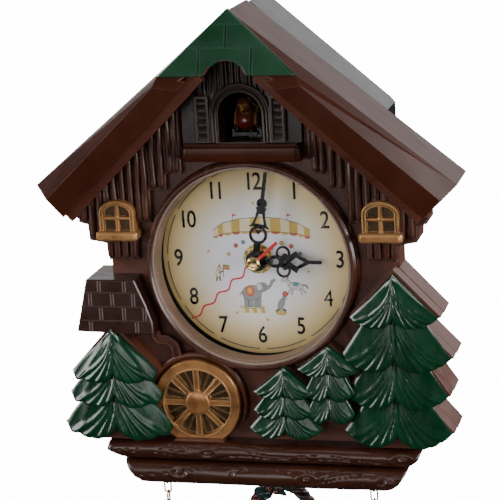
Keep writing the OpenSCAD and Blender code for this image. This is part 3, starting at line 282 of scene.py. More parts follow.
def printed_ink(name):
    """Inks in each face's own colour."""
    f = Finish(name, 0.5)
    ink = f.node("ShaderNodeVertexColor", layer_name="ink")
    grain = f.cloud(2200.0, detail=3.0)
    shade = f.blend(f.grey(grain, 0.0, 0.22, 0.35, 0.65), ink.outputs[0], (0.5, 0.46, 0.4))
    f.bump(grain, 0.1, 0.01)
    return f.done(shade, f.grey(grain, 0.42, 0.58))


def clear_cover(name):
    """Thin clear plastic with faint smears."""
    f = Finish(name, 0.02, specular=0.35)
    for key, value in (("Base Color", (1.0, 1.0, 1.0, 1.0)), ("Transmission Weight", 1.0), ("IOR", 1.03)):
        f.skin.inputs[key].default_value = value
    return f.done(None, f.grey(f.cloud(40.0), 0.0, 0.04, 0.4, 0.8))


def bark_plastic(name):
    """The logs: brown plastic with long carved lines that catch the light, and hard edges lightened partly as
    rubbed paint and partly as a painted highlight.
    """
    f = Finish(name, 0.3, coat=0.1, specular=0.35)
    lines = f.cloud(1.0, (20, 160, 160), detail=3.0, distortion=0.5)
    base = f.two_tone(f.cloud(45.0), (0.022, 0.0056, 0.0026), (0.040, 0.0118, 0.0062))
    # Lighter colour along hard edges: partly rubbed paint, partly a painted highlight.
    base = f.blend(f.edge_mask(0.5), base, (0.07, 0.03, 0.02))
    f.rounded(0.35)
    f.bump(lines, 0.5, 0.12)
    return f.done(base, f.grey(lines, 0.2, 0.42))


# The third colour of each moulded plastic lightens its hard edges: partly rubbed paint, partly a painted
# highlight.
roof_paint = moulded_plastic("roof_brown", (0.0280, 0.0052, 0.0015), (0.045, 0.0096, 0.0035),
                             (0.10, 0.047, 0.035), (34, 190, 34), (0.26, 0.36), 0.07, 0.018, 0.2)
wall_paint = moulded_plastic("wall_brown", (0.064, 0.0160, 0.0072), (0.096, 0.0275, 0.0140),
                             (0.085, 0.036, 0.026), (90, 60, 90), depth=0.1)
board_paint = moulded_plastic("board_brown", (0.036, 0.0100, 0.0054), (0.068, 0.0225, 0.0130),
                              (0.16, 0.095, 0.08), (700, 200, 42), (0.16, 0.36), 0.35, 0.24)
dark_paint = moulded_plastic("dark_brown", (0.011, 0.0034, 0.0019), (0.021, 0.007, 0.004),
                             (0.12, 0.068, 0.056), (300, 150, 60), depth=0.12)
brick_paint = moulded_plastic("brick_brown", (0.015, 0.0028, 0.0009), (0.024, 0.0052, 0.0020),
                              (0.07, 0.032, 0.024), 80, depth=0.08)
# The raised brick joints take a paler colour that is a painted highlight along their ridges.
joint_glint_paint = moulded_plastic("brick_joint_glint", (0.05, 0.028, 0.024), (0.1, 0.066, 0.06), (0.2, 0.15, 0.14),
                              depth=0.05)
bezel_paint = moulded_plastic("bezel_brown", (0.032, 0.0080, 0.0036), (0.052, 0.0150, 0.0080),
                              (0.14, 0.07, 0.055), 50, (0.2, 0.32), 0.05)
green_paint = glazed_green("green_glaze")
tile_paint = glazed_tile("green_tile")
log_paint = bark_plastic("log_brown")
gold_paint = gold_wash("gold_wash", (0.19, 0.075, 0.022), (0.36, 0.165, 0.056), (0.10, 0.04, 0.013))
gold_shadow = gold_wash("gold_shadow", (0.03, 0.014, 0.004), (0.07, 0.036, 0.01), (0.015, 0.006, 0.002))
taupe_paint = moulded_plastic("taupe_ring", (0.13, 0.072, 0.045), (0.2, 0.12, 0.08), (0.5, 0.45, 0.42),
                              40, (0.28, 0.42), 0.05, 0.09)
black_gloss = moulded_plastic("black_gloss", (0.006, 0.006, 0.0075), (0.013, 0.013, 0.016),
                              (0.05, 0.05, 0.055),
                              40, (0.2, 0.3), 0.015, 0.18)
cone_paint = moulded_plastic("cone_brown", (0.022, 0.0085, 0.005), (0.05, 0.022, 0.013), (0.15, 0.08, 0.05),
                             (200, 200, 60), (0.22, 0.4), 0.15)
leaf_paint = moulded_plastic("leaf_dark", (0.005, 0.014, 0.012), (0.016, 0.04, 0.036), (0.03, 0.08, 0.07),
                             150, (0.2, 0.36), 0.1)
twig_paint = moulded_plastic("twig_brown", (0.014, 0.0065, 0.004), (0.035, 0.018, 0.011), (0.07, 0.04, 0.025),
                             300, (0.3, 0.5), 0.3)
bird_paint = moulded_plastic("bird_russet", (0.05, 0.012, 0.005), (0.12, 0.036, 0.010), (0.4, 0.22, 0.06),
                             (500, 150, 300), (0.25, 0.4), 0.15)
black_matt = flat_paint("black_matt", (0.01, 0.01, 0.011), (0.02, 0.02, 0.022), (0.38, 0.55))
hand_paint = flat_paint("hand_black", (0.004, 0.004, 0.004), (0.011, 0.011, 0.011), (0.22, 0.38), coat=0.35)
red_paint = flat_paint("hand_red", (0.42, 0.008, 0.012), (0.6, 0.018, 0.02), (0.25, 0.4), coat=0.3)
gear_paint = flat_paint("natural_nylon", (0.62, 0.59, 0.5), (0.76, 0.73, 0.66), (0.45, 0.6))
cell_paint = flat_paint("cell_sleeve", (0.02, 0.02, 0.025), (0.35, 0.22, 0.06), (0.22, 0.35), 22.0)
board_green = flat_paint("board_green", (0.008, 0.07, 0.025), (0.015, 0.11, 0.04), (0.3, 0.45), 500.0)
berry_paint = flat_paint("berry_red", (0.07, 0.006, 0.006), (0.16, 0.016, 0.014), (0.18, 0.3), 600.0, 0.5)
bird_red = flat_paint("bird_red", (0.07, 0.005, 0.003), (0.15, 0.010, 0.006), (0.25, 0.4), coat=0.3)
beak_paint = flat_paint("beak_yellow", (0.5, 0.26, 0.03), (0.62, 0.36, 0.06), (0.3, 0.45))
brass_metal = worked_metal("polished_brass", (0.86, 0.66, 0.3), (0.6, 0.41, 0.15))
chain_metal = worked_metal("gold_chain", (0.8, 0.58, 0.26), (0.5, 0.32, 0.12), (0.2, 0.4), 900.0)
steel_metal = worked_metal("bright_steel", (0.72, 0.73, 0.75), (0.5, 0.51, 0.53))


# ---- Mesh tools -------------------------------------------------------------------------------

def finished_mesh(obj):
    """An object's mesh with its modifiers or its curve settings applied."""
    return bpy.data.meshes.new_from_object(obj.evaluated_get(bpy.context.evaluated_depsgraph_get()))


def clean(mesh, merge):
    """Merges points closer than merge (metres), then turns every face outward."""
    bm = bmesh.new()
    bm.from_mesh(mesh)
    if merge:
        bmesh.ops.remove_doubles(bm, verts=bm.verts, dist=merge)
        bmesh.ops.dissolve_degenerate(bm, edges=bm.edges, dist=merge / 10)
    bmesh.ops.recalc_face_normals(bm, faces=bm.faces)
    bm.to_mesh(mesh)
    bm.free()


def placed(obj, body, sharp):
    """Shades a finished piece smooth up to the sharp angle and puts it on its body."""
    obj.data.polygons.foreach_set("use_smooth", [True] * len(obj.data.polygons))
    obj.data.set_sharp_from_angle(angle=radians(sharp))
    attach(obj, body)
    return obj


def piece(name, verts, faces, paints, slot, body=ROOT, replaced=(), sharp=38.0, ids=None, merge=1e-6):
    """Makes a finished piece from points in millimetres about the dial."""
    mesh = bpy.data.meshes.new(name)
    mesh.from_pydata([at(v) for v in verts], [], faces)
    for paint in paints if isinstance(paints, list) else [paints]:
        mesh.materials.append(paint)
    if ids is not None:
        mesh.polygons.foreach_set("material_index", ids)
    if merge is not None:
        clean(mesh, merge)
    mesh.update()
    obj = bpy.data.objects.new(name, mesh)
    bpy.context.collection.objects.link(obj)
    placed(obj, body, sharp)
    if replaced:
        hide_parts(*replaced)
    return obj


def polar(r, a, centre=(0.0, 0.0), aside=0.0):
    """The front-view point at radius r and clockwise angle a, moved aside across the radius."""
    s, c = sin(a), cos(a)
    return centre[0] + r * s + aside * c, centre[1] + r * c - aside * s


def turns(count):
    """Evenly spaced angles of one full turn."""
    return [2 * pi * k / count for k in range(count)]


class Shape:
    """Gathers points and faces of one piece, with a paint number for each face."""

    def __init__(self):
        self.verts, self.faces, self.ids = [], [], []

    def add(self, verts, faces, paint=0):
        n = len(self.verts)
        self.verts += [tuple(v) for v in verts]
        self.faces += [tuple(i + n for i in f) for f in faces]
        self.ids += [paint] * len(faces)

    def sheet(self, rows, paint=0, close_u=False, caps=False):
        """A grid given as rows of points; caps close its first and last rows."""
        m, n = len(rows), len(rows[0])
        faces = []
        for i in range(m - 1):
            for j in range(n - (0 if close_u else 1)):
                k = (j + 1) % n
                faces.append((i * n + j, i * n + k, (i + 1) * n + k, (i + 1) * n + j))
        self.add([p for row in rows for p in row], faces, paint)
        if caps:
            for row in (rows[0], rows[-1]):
                self.add(row, [tuple(range(n))], paint)

    def prism(self, outline, y_front, y_rear, paint=0, bevel=0.0):
        """An extruded front-view outline, its front edge chamfered by bevel."""
        n = len(outline)
        loops = [[(x, y, z) for x, z in outline] for y in (y_front + bevel, y_rear)]
        if bevel > 0:
            loops.insert(0, [(x, y_front, z) for x, z in inset(outline, bevel)])
        verts = [p for loop in loops for p in loop]
        faces = [tuple(range(n))]
        for k in range(len(loops) - 1):
            for i in range(n):
                j = (i + 1) % n
                faces.append((k * n + i, k * n + j, (k + 1) * n + j, (k + 1) * n + i))
        faces.append(tuple(range((len(loops) - 1) * n, len(loops) * n))[::-1])
        self.add(verts, faces, paint)

    def tube(self, path, radius, sides=8, paint=0, closed=False, flat=1.0):
        """A round bar along a path; radius may be a function of 0..1."""
        n = len(path)
        rows = []
        for i, p in enumerate(path):
            a = Vector(path[(i - 1) % n] if closed else path[max(i - 1, 0)])
            b = Vector(path[(i + 1) % n] if closed else path[min(i + 1, n - 1)])
            along = (b - a).normalized()
            side = along.cross(Vector((0, 1, 0)))
            if side.length < 1e-4:
                side = Vector((1, 0, 0))
            side.normalize()
            up = side.cross(along).normalized()
            r = radius(i / max(n - 1, 1)) if callable(radius) else radius
            rows.append([Vector(p) + r * (cos(t) * side + sin(t) * flat * up)
                         for t in (2 * pi * k / sides for k in range(sides))])
        if closed:
            rows.append(rows[0])
        self.sheet(rows, paint, close_u=True)
        if not closed:
            start = len(self.verts) - n * sides
            self.faces += [tuple(range(start, start + sides))[::-1],
                           tuple(range(len(self.verts) - sides, len(self.verts)))]
            self.ids += [paint, paint]

    def turned(self, profile, centre=(0.0, 0.0), steps=96, paint=0):
        """A closed profile of (radius, depth ahead of the dial) turned about the Y axis."""
        n = len(profile)
        rows = [polar(r, a, centre) + (-d,) for a in turns(steps) for r, d in profile]
        faces = []
        for i in range(steps):
            for j in range(n):
                k, m = (j + 1) % n, (i + 1) % steps
                faces.append((i * n + j, i * n + k, m * n + k, m * n + j))
        self.add([(x, y, z) for x, z, y in rows], faces, paint)

    def make(self, name, paint, slot, **more):
        return piece(name, self.verts, self.faces, paint, slot, ids=self.ids, **more)


def inset(outline, d):
    """Moves an anticlockwise outline inwards by d."""
    n = len(outline)
    area = sum(outline[i][0] * outline[(i + 1) % n][1] - outline[(i + 1) % n][0] * outline[i][1]
               for i in range(n))
    sign = 1 if area > 0 else -1
    made = []
    for i in range(n):
        a, b, c = Vector(outline[i - 1]), Vector(outline[i]), Vector(outline[(i + 1) % n])
        n1 = Vector((a.y - b.y, b.x - a.x)).normalized() * sign
        n2 = Vector((b.y - c.y, c.x - b.x)).normalized() * sign
        made.append(tuple(b + (n1 + n2) * (d / max(1 + n1.dot(n2), 0.35))))
    return made


def box_mm(node):
    """A CAD node's box in millimetres about the dial."""
    low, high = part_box(node)
    return (Vector(low) - DIAL) / MM, (Vector(high) - DIAL) / MM


def paint_node(name, paint):
    obj = frame["nodes"][name]
    obj.data.materials.clear()
    obj.data.materials.append(paint)
    for polygon in obj.data.polygons:
        polygon.material_index = 0


def set_pieces(name, points, template, paint, body, seed):
    """Geometry Nodes: sets the template on every point, turned and sized by the point's own values."""
    holder = bpy.data.meshes.new(name + "_points")
    holder.from_pydata([at(p[0]) for p in points], [], [])
    for k, label in ((1, "turn"), (2, "grow")):
        values = holder.attributes.new(label, "FLOAT_VECTOR", "POINT")
        for i, p in enumerate(points):
            values.data[i].vector = p[k]
    obj = bpy.data.objects.new(name, holder)
    bpy.context.collection.objects.link(obj)
    tree = bpy.data.node_groups.new(name + "_layout", "GeometryNodeTree")
    keys = {}
    for label, way, kind in (("Points", "INPUT", "Geometry"), ("Template", "INPUT", "Object"),
                             ("Size", "INPUT", "Float"), ("Variation", "INPUT", "Float"),
                             ("Seed", "INPUT", "Int"), ("Pieces", "OUTPUT", "Geometry")):
        keys[label] = tree.interface.new_socket(label, in_out=way, socket_type="NodeSocket" + kind).identifier
    start = add_node(tree, "NodeGroupInput").outputs
    turned, grown = (add_node(tree, "GeometryNodeInputNamedAttribute", {"Name": label},
                              data_type="FLOAT_VECTOR")
                     for label in ("turn", "grow"))
    low, high = (add_node(tree, "ShaderNodeMath", {0: 1.0, 1: start["Variation"]}, operation=kind)
                 for kind in ("SUBTRACT", "ADD"))
    chance = add_node(tree, "FunctionNodeRandomValue",
                      {2: low.outputs[0], 3: high.outputs[0], "Seed": start["Seed"]}, data_type="FLOAT")
    scaled = add_node(tree, "ShaderNodeVectorMath",
                      {0: grown.outputs["Attribute"], "Scale": start["Size"]}, operation="SCALE")
    sized = add_node(tree, "ShaderNodeVectorMath",
                     {0: scaled.outputs[0], "Scale": chance.outputs[1]}, operation="SCALE")
    form = add_node(tree, "GeometryNodeObjectInfo", {"Object": start["Template"]})
    spread = add_node(tree, "GeometryNodeInstanceOnPoints", {
        "Points": start["Points"], "Instance": form.outputs["Geometry"],
        "Rotation": turned.outputs["Attribute"], "Scale": sized.outputs[0]})
    real = add_node(tree, "GeometryNodeRealizeInstances", {0: spread.outputs[0]})
    coat = add_node(tree, "GeometryNodeSetMaterial", {0: real.outputs[0], "Material": paint})
    add_node(tree, "NodeGroupOutput", {0: coat.outputs[0]})
    layout = obj.modifiers.new("layout", "NODES")
    layout.node_group = tree
    for label, value in (("Template", template), ("Size", 1.0), ("Variation", 0.08), ("Seed", seed)):
        layout[keys[label]] = value
    obj.update_tag()
    bpy.context.view_layer.update()
    made = finished_mesh(obj)
    obj.modifiers.clear()
    obj.data = made
    made.name = name
    bpy.data.meshes.remove(holder)
    bpy.data.node_groups.remove(tree)
    return placed(obj, body, 40.0)


def template(name, shape):
    """A small shape about its own origin, in metres, that Geometry Nodes repeat."""
    mesh = bpy.data.meshes.new(name)
    mesh.from_pydata([Vector(v) * MM for v in shape.verts], [], shape.faces)
    clean(mesh, 1e-6)
    obj = bpy.data.objects.new(name, mesh)
    bpy.context.collection.objects.link(obj)
    return obj


def discard(obj):
    mesh = obj.data
    bpy.data.objects.remove(obj)
    bpy.data.meshes.remove(mesh)


# ---- Fir trees --------------------------------------------------------------------------------

TREE_BACK, TREE_FRONT = -22.5, -31.0
TREES = {
    "tree_left": (-83.2, -35.0, ((25.8, -62.0), (28.0, -75.0), (32.6, -94.0)), 4),
    "tree_right": (81.8, -1.0, ((24.8, -26.0), (31.2, -49.5), (29.0, -71.5), (30.5, -93.5)), 5),
    "tree_small_left": (17.4, -56.0, ((17.9, -71.0), (18.3, -82.0), (21.4, -93.0)), 4),
    "tree_small_right": (43.6, -43.0, ((17.7, -57.0), (14.6, -70.5), (14.2, -83.0)), 4),
}


def feather(u, v, reach=0.48, bend=1.15):
    """Which leaf a point lies on: leaves leave the spine one below another and bend out to the hem."""
    low, high = 0.0, 1.0
    for _ in range(14):
        e = (low + high) / 2
        start = (1 - e) * reach
        here = e * max(0.0, (v - start) / (1 - start)) ** bend
        low, high = (e, high) if here < u else (low, e)
    return (low + high) / 2


def fir_tier(shape, x0, top, half, tip, hem, leaves, first, lift, blunt, rng):
    """One skirt of leaves with shallow ridged bands from the spine to a two-lobed hem."""
    across, down = leaves * 18, 26
    shifts = [rng.uniform(-0.5, 0.5) for _ in range(2 * leaves + 4)]
    neck = 0.0 if first else 0.36

    def leaf(u, v):
        e = feather(abs(u), v) * leaves + 0.07 * sin(6.0 * v + 3.0 * u)
        k = int(min(max(e, 0.0), leaves - 1e-6))
        t = min(max(e - k, 0.0), 1.0)
        side = 0 if u < 0 else leaves
        tall = 0.62 + 0.3 * shifts[k + side]
        rise = 1 - (1 - min(t * 2.2, 1.0)) ** 2
        fall = (1 - t) ** 0.7
        vein = 0.2 * exp(-((t - 0.5 - 0.2 * shifts[k + side]) / 0.09) ** 2) * smooth01(v * 2 - 0.7)
        return tall * rise * fall + vein

    def point(u, v):
        flare = v * (0.86 + 0.14 * v) if not blunt else 0.62 * v + 0.38 * smooth01(v)
        width = half * (neck + (1 - neck) * flare)
        lobes = max(sin(pi * min(abs(u), 1.0) ** 0.84), 0.0) ** 0.8
        nick = leaf(u, 0.995)
        low = tip - hem * (0.95 * lobes + 0.05) - 0.55 * nick * min(1.0, 4 * (1 - abs(u)))
        if blunt:
            low -= 2.6 * smooth01((abs(u) - 0.72) / 0.2) * (1 - smooth01((abs(u) - 0.93) / 0.07))
        z = top + (low - top) * v
        x = x0 + u * width
        lean = (1 - v) * (2.6 if first else 3.8)
        crown = 5.6 * min(1.0, half / 34) * abs(u) ** 1.9 * (0.3 + 0.7 * v)
        spine = 0.55 * exp(-(u * 20) ** 2) * (1 - v ** 6)
        grow = smooth01(v * 3.0)
        relief = (0.6 + 1.2 * v) * min(1.0, half / 24) * grow * leaf(u, v)
        relief *= (1 - 0.3 * abs(u) ** 3) * min(1.0, 0.35 + 4.0 * abs(u))
        y = TREE_FRONT + lift + 0.9 + lean + crown - spine - relief + 0.7 * max(abs(u) ** 26, v ** 34)
        return (x, min(y, TREE_BACK - 0.5), z)

    us = [sin(0.5 * pi * (2 * i / across - 1)) * 0.3 + (2 * i / across - 1) * 0.7 for i in range(across + 1)]
    vs = [1 - (1 - j / down) ** 1.3 for j in range(down + 1)]
    start = 0.015 if first else 0.0
    rows = [[point(u, max(v, start)) for u in us] for v in vs]
    shape.sheet(rows)
    rim = ([rows[0][j] for j in range(across + 1)] + [rows[i][across] for i in range(1, down + 1)]
           + [rows[down][j] for j in range(across - 1, -1, -1)]
           + [rows[i][0] for i in range(down - 1, 0, -1)])
    n = len(rim)
    middle_z = sum(p[2] for p in rim) / n
    loops = [rim, [(x0 + (x - x0) * 0.98, TREE_BACK, lerp(z, middle_z, 0.015)) for x, y, z in rim]]
    faces = [(i, (i + 1) % n, n + (i + 1) % n, n + i) for i in range(n)]
    faces.append(tuple(range(2 * n - 1, n - 1, -1)))
    shape.add([p for loop in loops for p in loop], faces)


def fir_outline(data, grow):
    x0, top, tiers, _ = data
    right = [(0.0, top + grow * 1.4)]
    for half, z in tiers:
        right += [(half + grow, z - grow * 0.3), (half * 0.58 + grow, z - 5 - grow)]
    right.append((8 + grow, tiers[-1][1] - 6.5))
    flanks = [[(x0 + side * x, z) for x, z in right[1:]] for side in (1, -1)]
    return flanks[0][::-1] + [(x0, right[0][1])] + flanks[1]


def make_tree(name):
    data = TREES[name]
    x0, top, tiers, leaves = data
    rng = random.Random(len(name) * 7 + leaves)
    shape = Shape()
    small = "small" in name
    for k, (half, tip) in enumerate(tiers):
        last = k == len(tiers) - 1
        tier_top = top if k == 0 else tiers[k - 1][1] + (6.0 if small else 9.0)
        hem = (8.5 if last else 5.6 if k == 0 else 7.6) * (0.66 if small else 1.0)
        fir_tier(shape, x0, tier_top, half, tip, hem, leaves, k == 0, 0.3 * k, name == "tree_left", rng)
    tree = shape.make(name + "_leaves", green_paint, "green_glaze", replaced=(name,), sharp=50)
    if small:
        backing = Shape()
        backing.prism(fir_outline(data, -0.4), TREE_BACK, -12.0, bevel=0.0)
        backing.make(name + "_backing", wall_paint, "brown_moulding")
    return tree


# ---- Logs -------------------------------------------------------------------------------------

def half_width(outline, z, side):
    """Where an outline given as (z, left, right) rows lies at height z."""
    for (z0, l0, r0), (z1, l1, r1) in zip(outline, outline[1:]):
        if z0 <= z <= z1:
            t = (z - z0) / (z1 - z0)
            return lerp(l0, l1, t) if side < 0 else lerp(r0, r1, t)
    return outline[-1][1 if side < 0 else 2]


def make_log(name, node, rows_z, knots, seed):
    """A half-round log with carved bark lines, knots and ringed ends."""
    low_z, high_z = rows_z[0][0], rows_z[-1][0]
    mid, r = (low_z + high_z) / 2, (high_z - low_z) / 2
    front, back = -28.0, -12.0
    across, around = 220, 26
    shape = Shape()
    rows = []
    for j in range(around + 1):
        a = pi * (1 - j / around)
        row = []
        for i in range(across + 1):
            t = i / across
            z0 = mid - r * cos(a)
            x = lerp(half_width(rows_z, z0, -1), half_width(rows_z, z0, 1), t)
            wave = wobble(x * 0.022, z0 * 0.10, seed)
            crease = abs(wobble(x * 0.020, z0 * 0.17 + 1.6 * wave, seed + 7.3))
            carve = -0.9 * exp(-(crease / 0.05) ** 2)
            hollow = 0.7 * wave
            for kx, kz, kr in knots:
                d = hypot((x - kx) / 1.7, z0 - kz) / kr
                hollow += 0.9 * exp(-d * d) * cos(d * 6.5)
            rr = r + (carve + hollow) * sin(a) - 0.7
            y = front + r - rr * sin(a) + 1.2 * exp(-120 * min(t, 1 - t))
            row.append((x, y, mid + (z0 - mid) * rr / r))
        rows.append(row)
    rows.insert(0, [(x, back, z) for x, y, z in rows[0]])
    rows.append([(x, back, z) for x, y, z in rows[-1]])
    shape.sheet(rows)
    for column, turn in ((0, 1), (-1, -1)):
        loop = [row[column] for row in rows]
        centre = (loop[len(loop) // 2][0], (front + back) / 2 - 2, mid)
        rings = [loop]
        for k in range(1, 6):
            t = k / 6
            bulge = (-0.5 if k % 2 else 0.1) * turn
            rings.append([(lerp(x, centre[0], t) + bulge, lerp(y, centre[1], t), lerp(z, centre[2], t))
                          for x, y, z in loop])
        shape.sheet([ring[::turn] for ring in rings])
        last = rings[-1]
        shape.add(last + [centre], [(i, i + 1, len(last)) for i in range(len(last) - 1)])
    back_loop = rows[0] + rows[-1][::-1]
    shape.add(back_loop, [tuple(range(len(back_loop)))])
    return shape.make(name, log_paint, "brown_moulding", replaced=(node,), sharp=60)


# ---- Facade: boards, doorway, windows, chimney ------------------------------------------------

RIDGE, EAVE_X, EAVE_Z = 147.5, 120.0, 49.7
SLOPE = (RIDGE - EAVE_Z) / EAVE_X


def under_roof(x):
    return RIDGE - 3.4 - SLOPE * abs(x)


def make_cladding():
    """Wavy upright boards with rounded feet on a stepped backing, on both sides."""
    base, boards = Shape(), Shape()
    steps = [(34, 61.5), (37.5, 61.5), (37.5, 53), (47, 53), (47, 43.6), (57, 43.6), (57, 25), (66, 25),
             (66, 3), (84, 3), (84, 12.5), (95, 14.5), (95.5, 23.5), (100.8, 25),
             (100.8, under_roof(100.8) - 5), (34, under_roof(34) - 5)]
    # Each board's place from the middle and the height of its foot
    rows = [(37.2, 62), (40.4, 54), (44.3, 53.5), (49.4, 45), (54.2, 44.6), (59.6, 26), (63.6, 26),
            (68.4, 4), (73.2, 4),
            (78.2, 4), (82.4, 4.2), (87.2, 15.5), (92.0, 16), (96.4, 25.5), (99.6, 27)]
    for side in (-1, 1):
        base.prism([(side * x, z) for x, z in steps], -17.0, -12.0, bevel=0.5)
        for k, (x0, foot) in enumerate(rows):
            head = under_roof(x0 + 2) - 5.5
            sheet = []
            for i in range(47):
                z = lerp(foot, head, i / 46)
                w = 2.05 + 0.35 * wobble(k * 3.1, z * 0.09, side)
                sway = 0.55 * wobble(k * 1.7 + 9, z * 0.06, side * 4)
                toe = sqrt(max(0.0, 1 - (1 - min(1.0, (z - foot) / 2.4)) ** 2)) * 0.93 + 0.07
                row = []
                for j in range(9):
                    a = pi * j / 8
                    cut = 0.45 * max(0.0, wobble(j * 0.9, z * 0.05, k + side * 5)) * sin(a)
                    row.append((side * x0 + sway - w * toe * cos(a),
                                -17.0 - (2.9 - cut) * toe * sin(a) ** 0.8, z))
                sheet.append(row)
            boards.sheet(sheet, caps=True)
    base.make("cladding_backing", board_paint, "brown_moulding", replaced=("cladding",))
    boards.make("cladding_boards", board_paint, "brown_moulding", sharp=45)


def make_doorway():
    """Boards above the arch, louvred shutters and the rounded perch."""
    boards = Shape()
    for k in range(-7, 8):
        x0 = k * 3.3
        foot = 103.5 - 0.012 * x0 * x0 if abs(x0) < 17 else 98
        head = min(123.0, under_roof(x0) - 6)
        sheet = []
        for i in range(23):
            z = lerp(foot, head, i / 22)
            sway = 0.5 * wobble(k * 2.3, z * 0.12, 5.0)
            sheet.append([(x0 + sway - 1.35 * cos(pi * j / 6), -21.0 - 1.5 * sin(pi * j / 6), z)
                          for j in range(7)])
        boards.sheet(sheet, caps=True)
    boards.make("door_boards", dark_paint, "brown_moulding", sharp=45)

    arch = Shape()
    sill, spring, half = 72.5, 88.0, 12.5
    for reach, radius in ((1.1, 0.75), (2.9, 0.75), (4.6, 0.7)):
        w = half + reach
        path = [(-w, -23.0, sill)] + [(-w * cos(pi * i / 24), -23.0, spring + w * sin(pi * i / 24))
                                      for i in range(25)]
        path.append((w, -23.0, sill))
        arch.tube(path, radius, sides=8)
    arch.make("door_arch_beads", dark_paint, "brown_moulding")

    shutters = Shape()
    for side in (-1, 1):
        frame_in, frame_out = side * 17.9, side * 25.6
        corners = [(frame_in, 73.0), (frame_out, 73.0), (frame_out + side * 0.3, 97.5),
                   (lerp(frame_in, frame_out, 0.5), 99.6), (frame_in, 96.8)]
        shutters.tube([(x, -22.6, z) for x, z in corners], 0.62, sides=8, closed=True)
        for k in range(6):
            z = 75.0 + k * 3.9
            slat = [(frame_in + side * 1.2, -22.2, z), (frame_out - side * 1.1, -22.2, z + 0.44),
                    (frame_out - side * 1.1, -22.0, z + 2.5), (frame_in + side * 1.2, -22.0, z + 2.2)]
            shutters.tube(slat, 0.42, sides=6, closed=True)
            shutters.prism([(x, z0) for x, y, z0 in slat][::side], -21.9, -20.8)
    shutters.make("shutter_louvres", dark_paint, "brown_moulding", sharp=45)

    shelf = Shape()
    section = [(0.0, 0.0), (0.35, -0.6), (0.9, -1.0), (7.0, -1.0), (7.7, -0.7), (8.1, 0.0)]
    rows = []
    for h, out in section:
        row = []
        for i in range(65):
            a = pi * i / 64
            x = (-30.0 if a < pi / 2 else 30.0) - 4.0 * cos(a)
            y = -23.0 - 4.0 * sin(a)
            swell = 0.25 * wobble(x * 0.09, h * 0.6, 2.0)
            row.append((x * (1 - 0.008 * out), y + out * 0.5 + swell, 62.3 + h))
        rows.append([(row[0][0], -12.0, row[0][2])] + row + [(row[-1][0], -12.0, row[-1][2])])
    shelf.sheet(rows, caps=True)
    shelf.prism([(-32.5, 70.4), (32.5, 70.4), (31.9, 71.9), (-31.9, 71.9)], -25.4, -12.0, bevel=0.4)
    shelf.make("perch_board", roof_paint, "brown_moulding", replaced=("perch_shelf",), sharp=45)


def round_box(x0, x1, z0, z1, r):
    """A rectangle with rounded corners, anticlockwise."""
    made = []
    for cx, cz, first in ((x1 - r, z0 + r, -90), (x1 - r, z1 - r, 0), (x0 + r, z1 - r, 90),
                          (x0 + r, z0 + r, 180)):
        made += [(cx + r * cos(radians(first + 15 * k)), cz + r * sin(radians(first + 15 * k)))
                 for k in range(7)]
    return made


def make_windows():
    """Arched golden windows with a panelled sill."""
    trim = Shape()
    for x0 in (-76.0, 76.0):
        def ring(w, h):
            arch = [(x0 - w * cos(a), 31.6 + (h - 31.6) * sin(a)) for a in turns(32)[:17]]
            return [(x0 - w, 21.2)] + arch + [(x0 + w, 21.2)]
        trim.sheet([[(x, y, z) for x, z in ring(w, h)] for y, w, h in (
            (-12.2, 10.6, 39.2), (-22.2, 10.6, 39.2), (-22.9, 10.2, 38.8), (-22.9, 9.6, 38.1),
            (-22.0, 9.2, 37.7), (-22.0, 8.7, 37.1), (-22.8, 8.3, 36.7), (-22.8, 7.9, 36.3),
            (-20.0, 7.6, 36.0))])
        trim.prism(ring(8.0, 36.4), -20.3, -19.4, paint=1)
        for a, b in (((x0, 21.2), (x0, 36.0)), ((x0 - 7.6, 28.6), (x0 + 7.6, 28.6))):
            trim.tube([(a[0], -21.1, a[1]), (b[0], -21.1, b[1])], 1.35, sides=10)
        trim.prism(round_box(x0 - 12.3, x0 + 12.3, 15.8, 21.3, 1.8), -25.4, -12.2, bevel=0.9)
        trim.prism(round_box(x0 - 11.0, x0 + 11.0, 17.0, 20.1, 1.2), -26.2, -25.2, bevel=0.4)
    trim.make("window_trim", [gold_paint, gold_shadow], "gold_wash", replaced=("windows",), sharp=40)


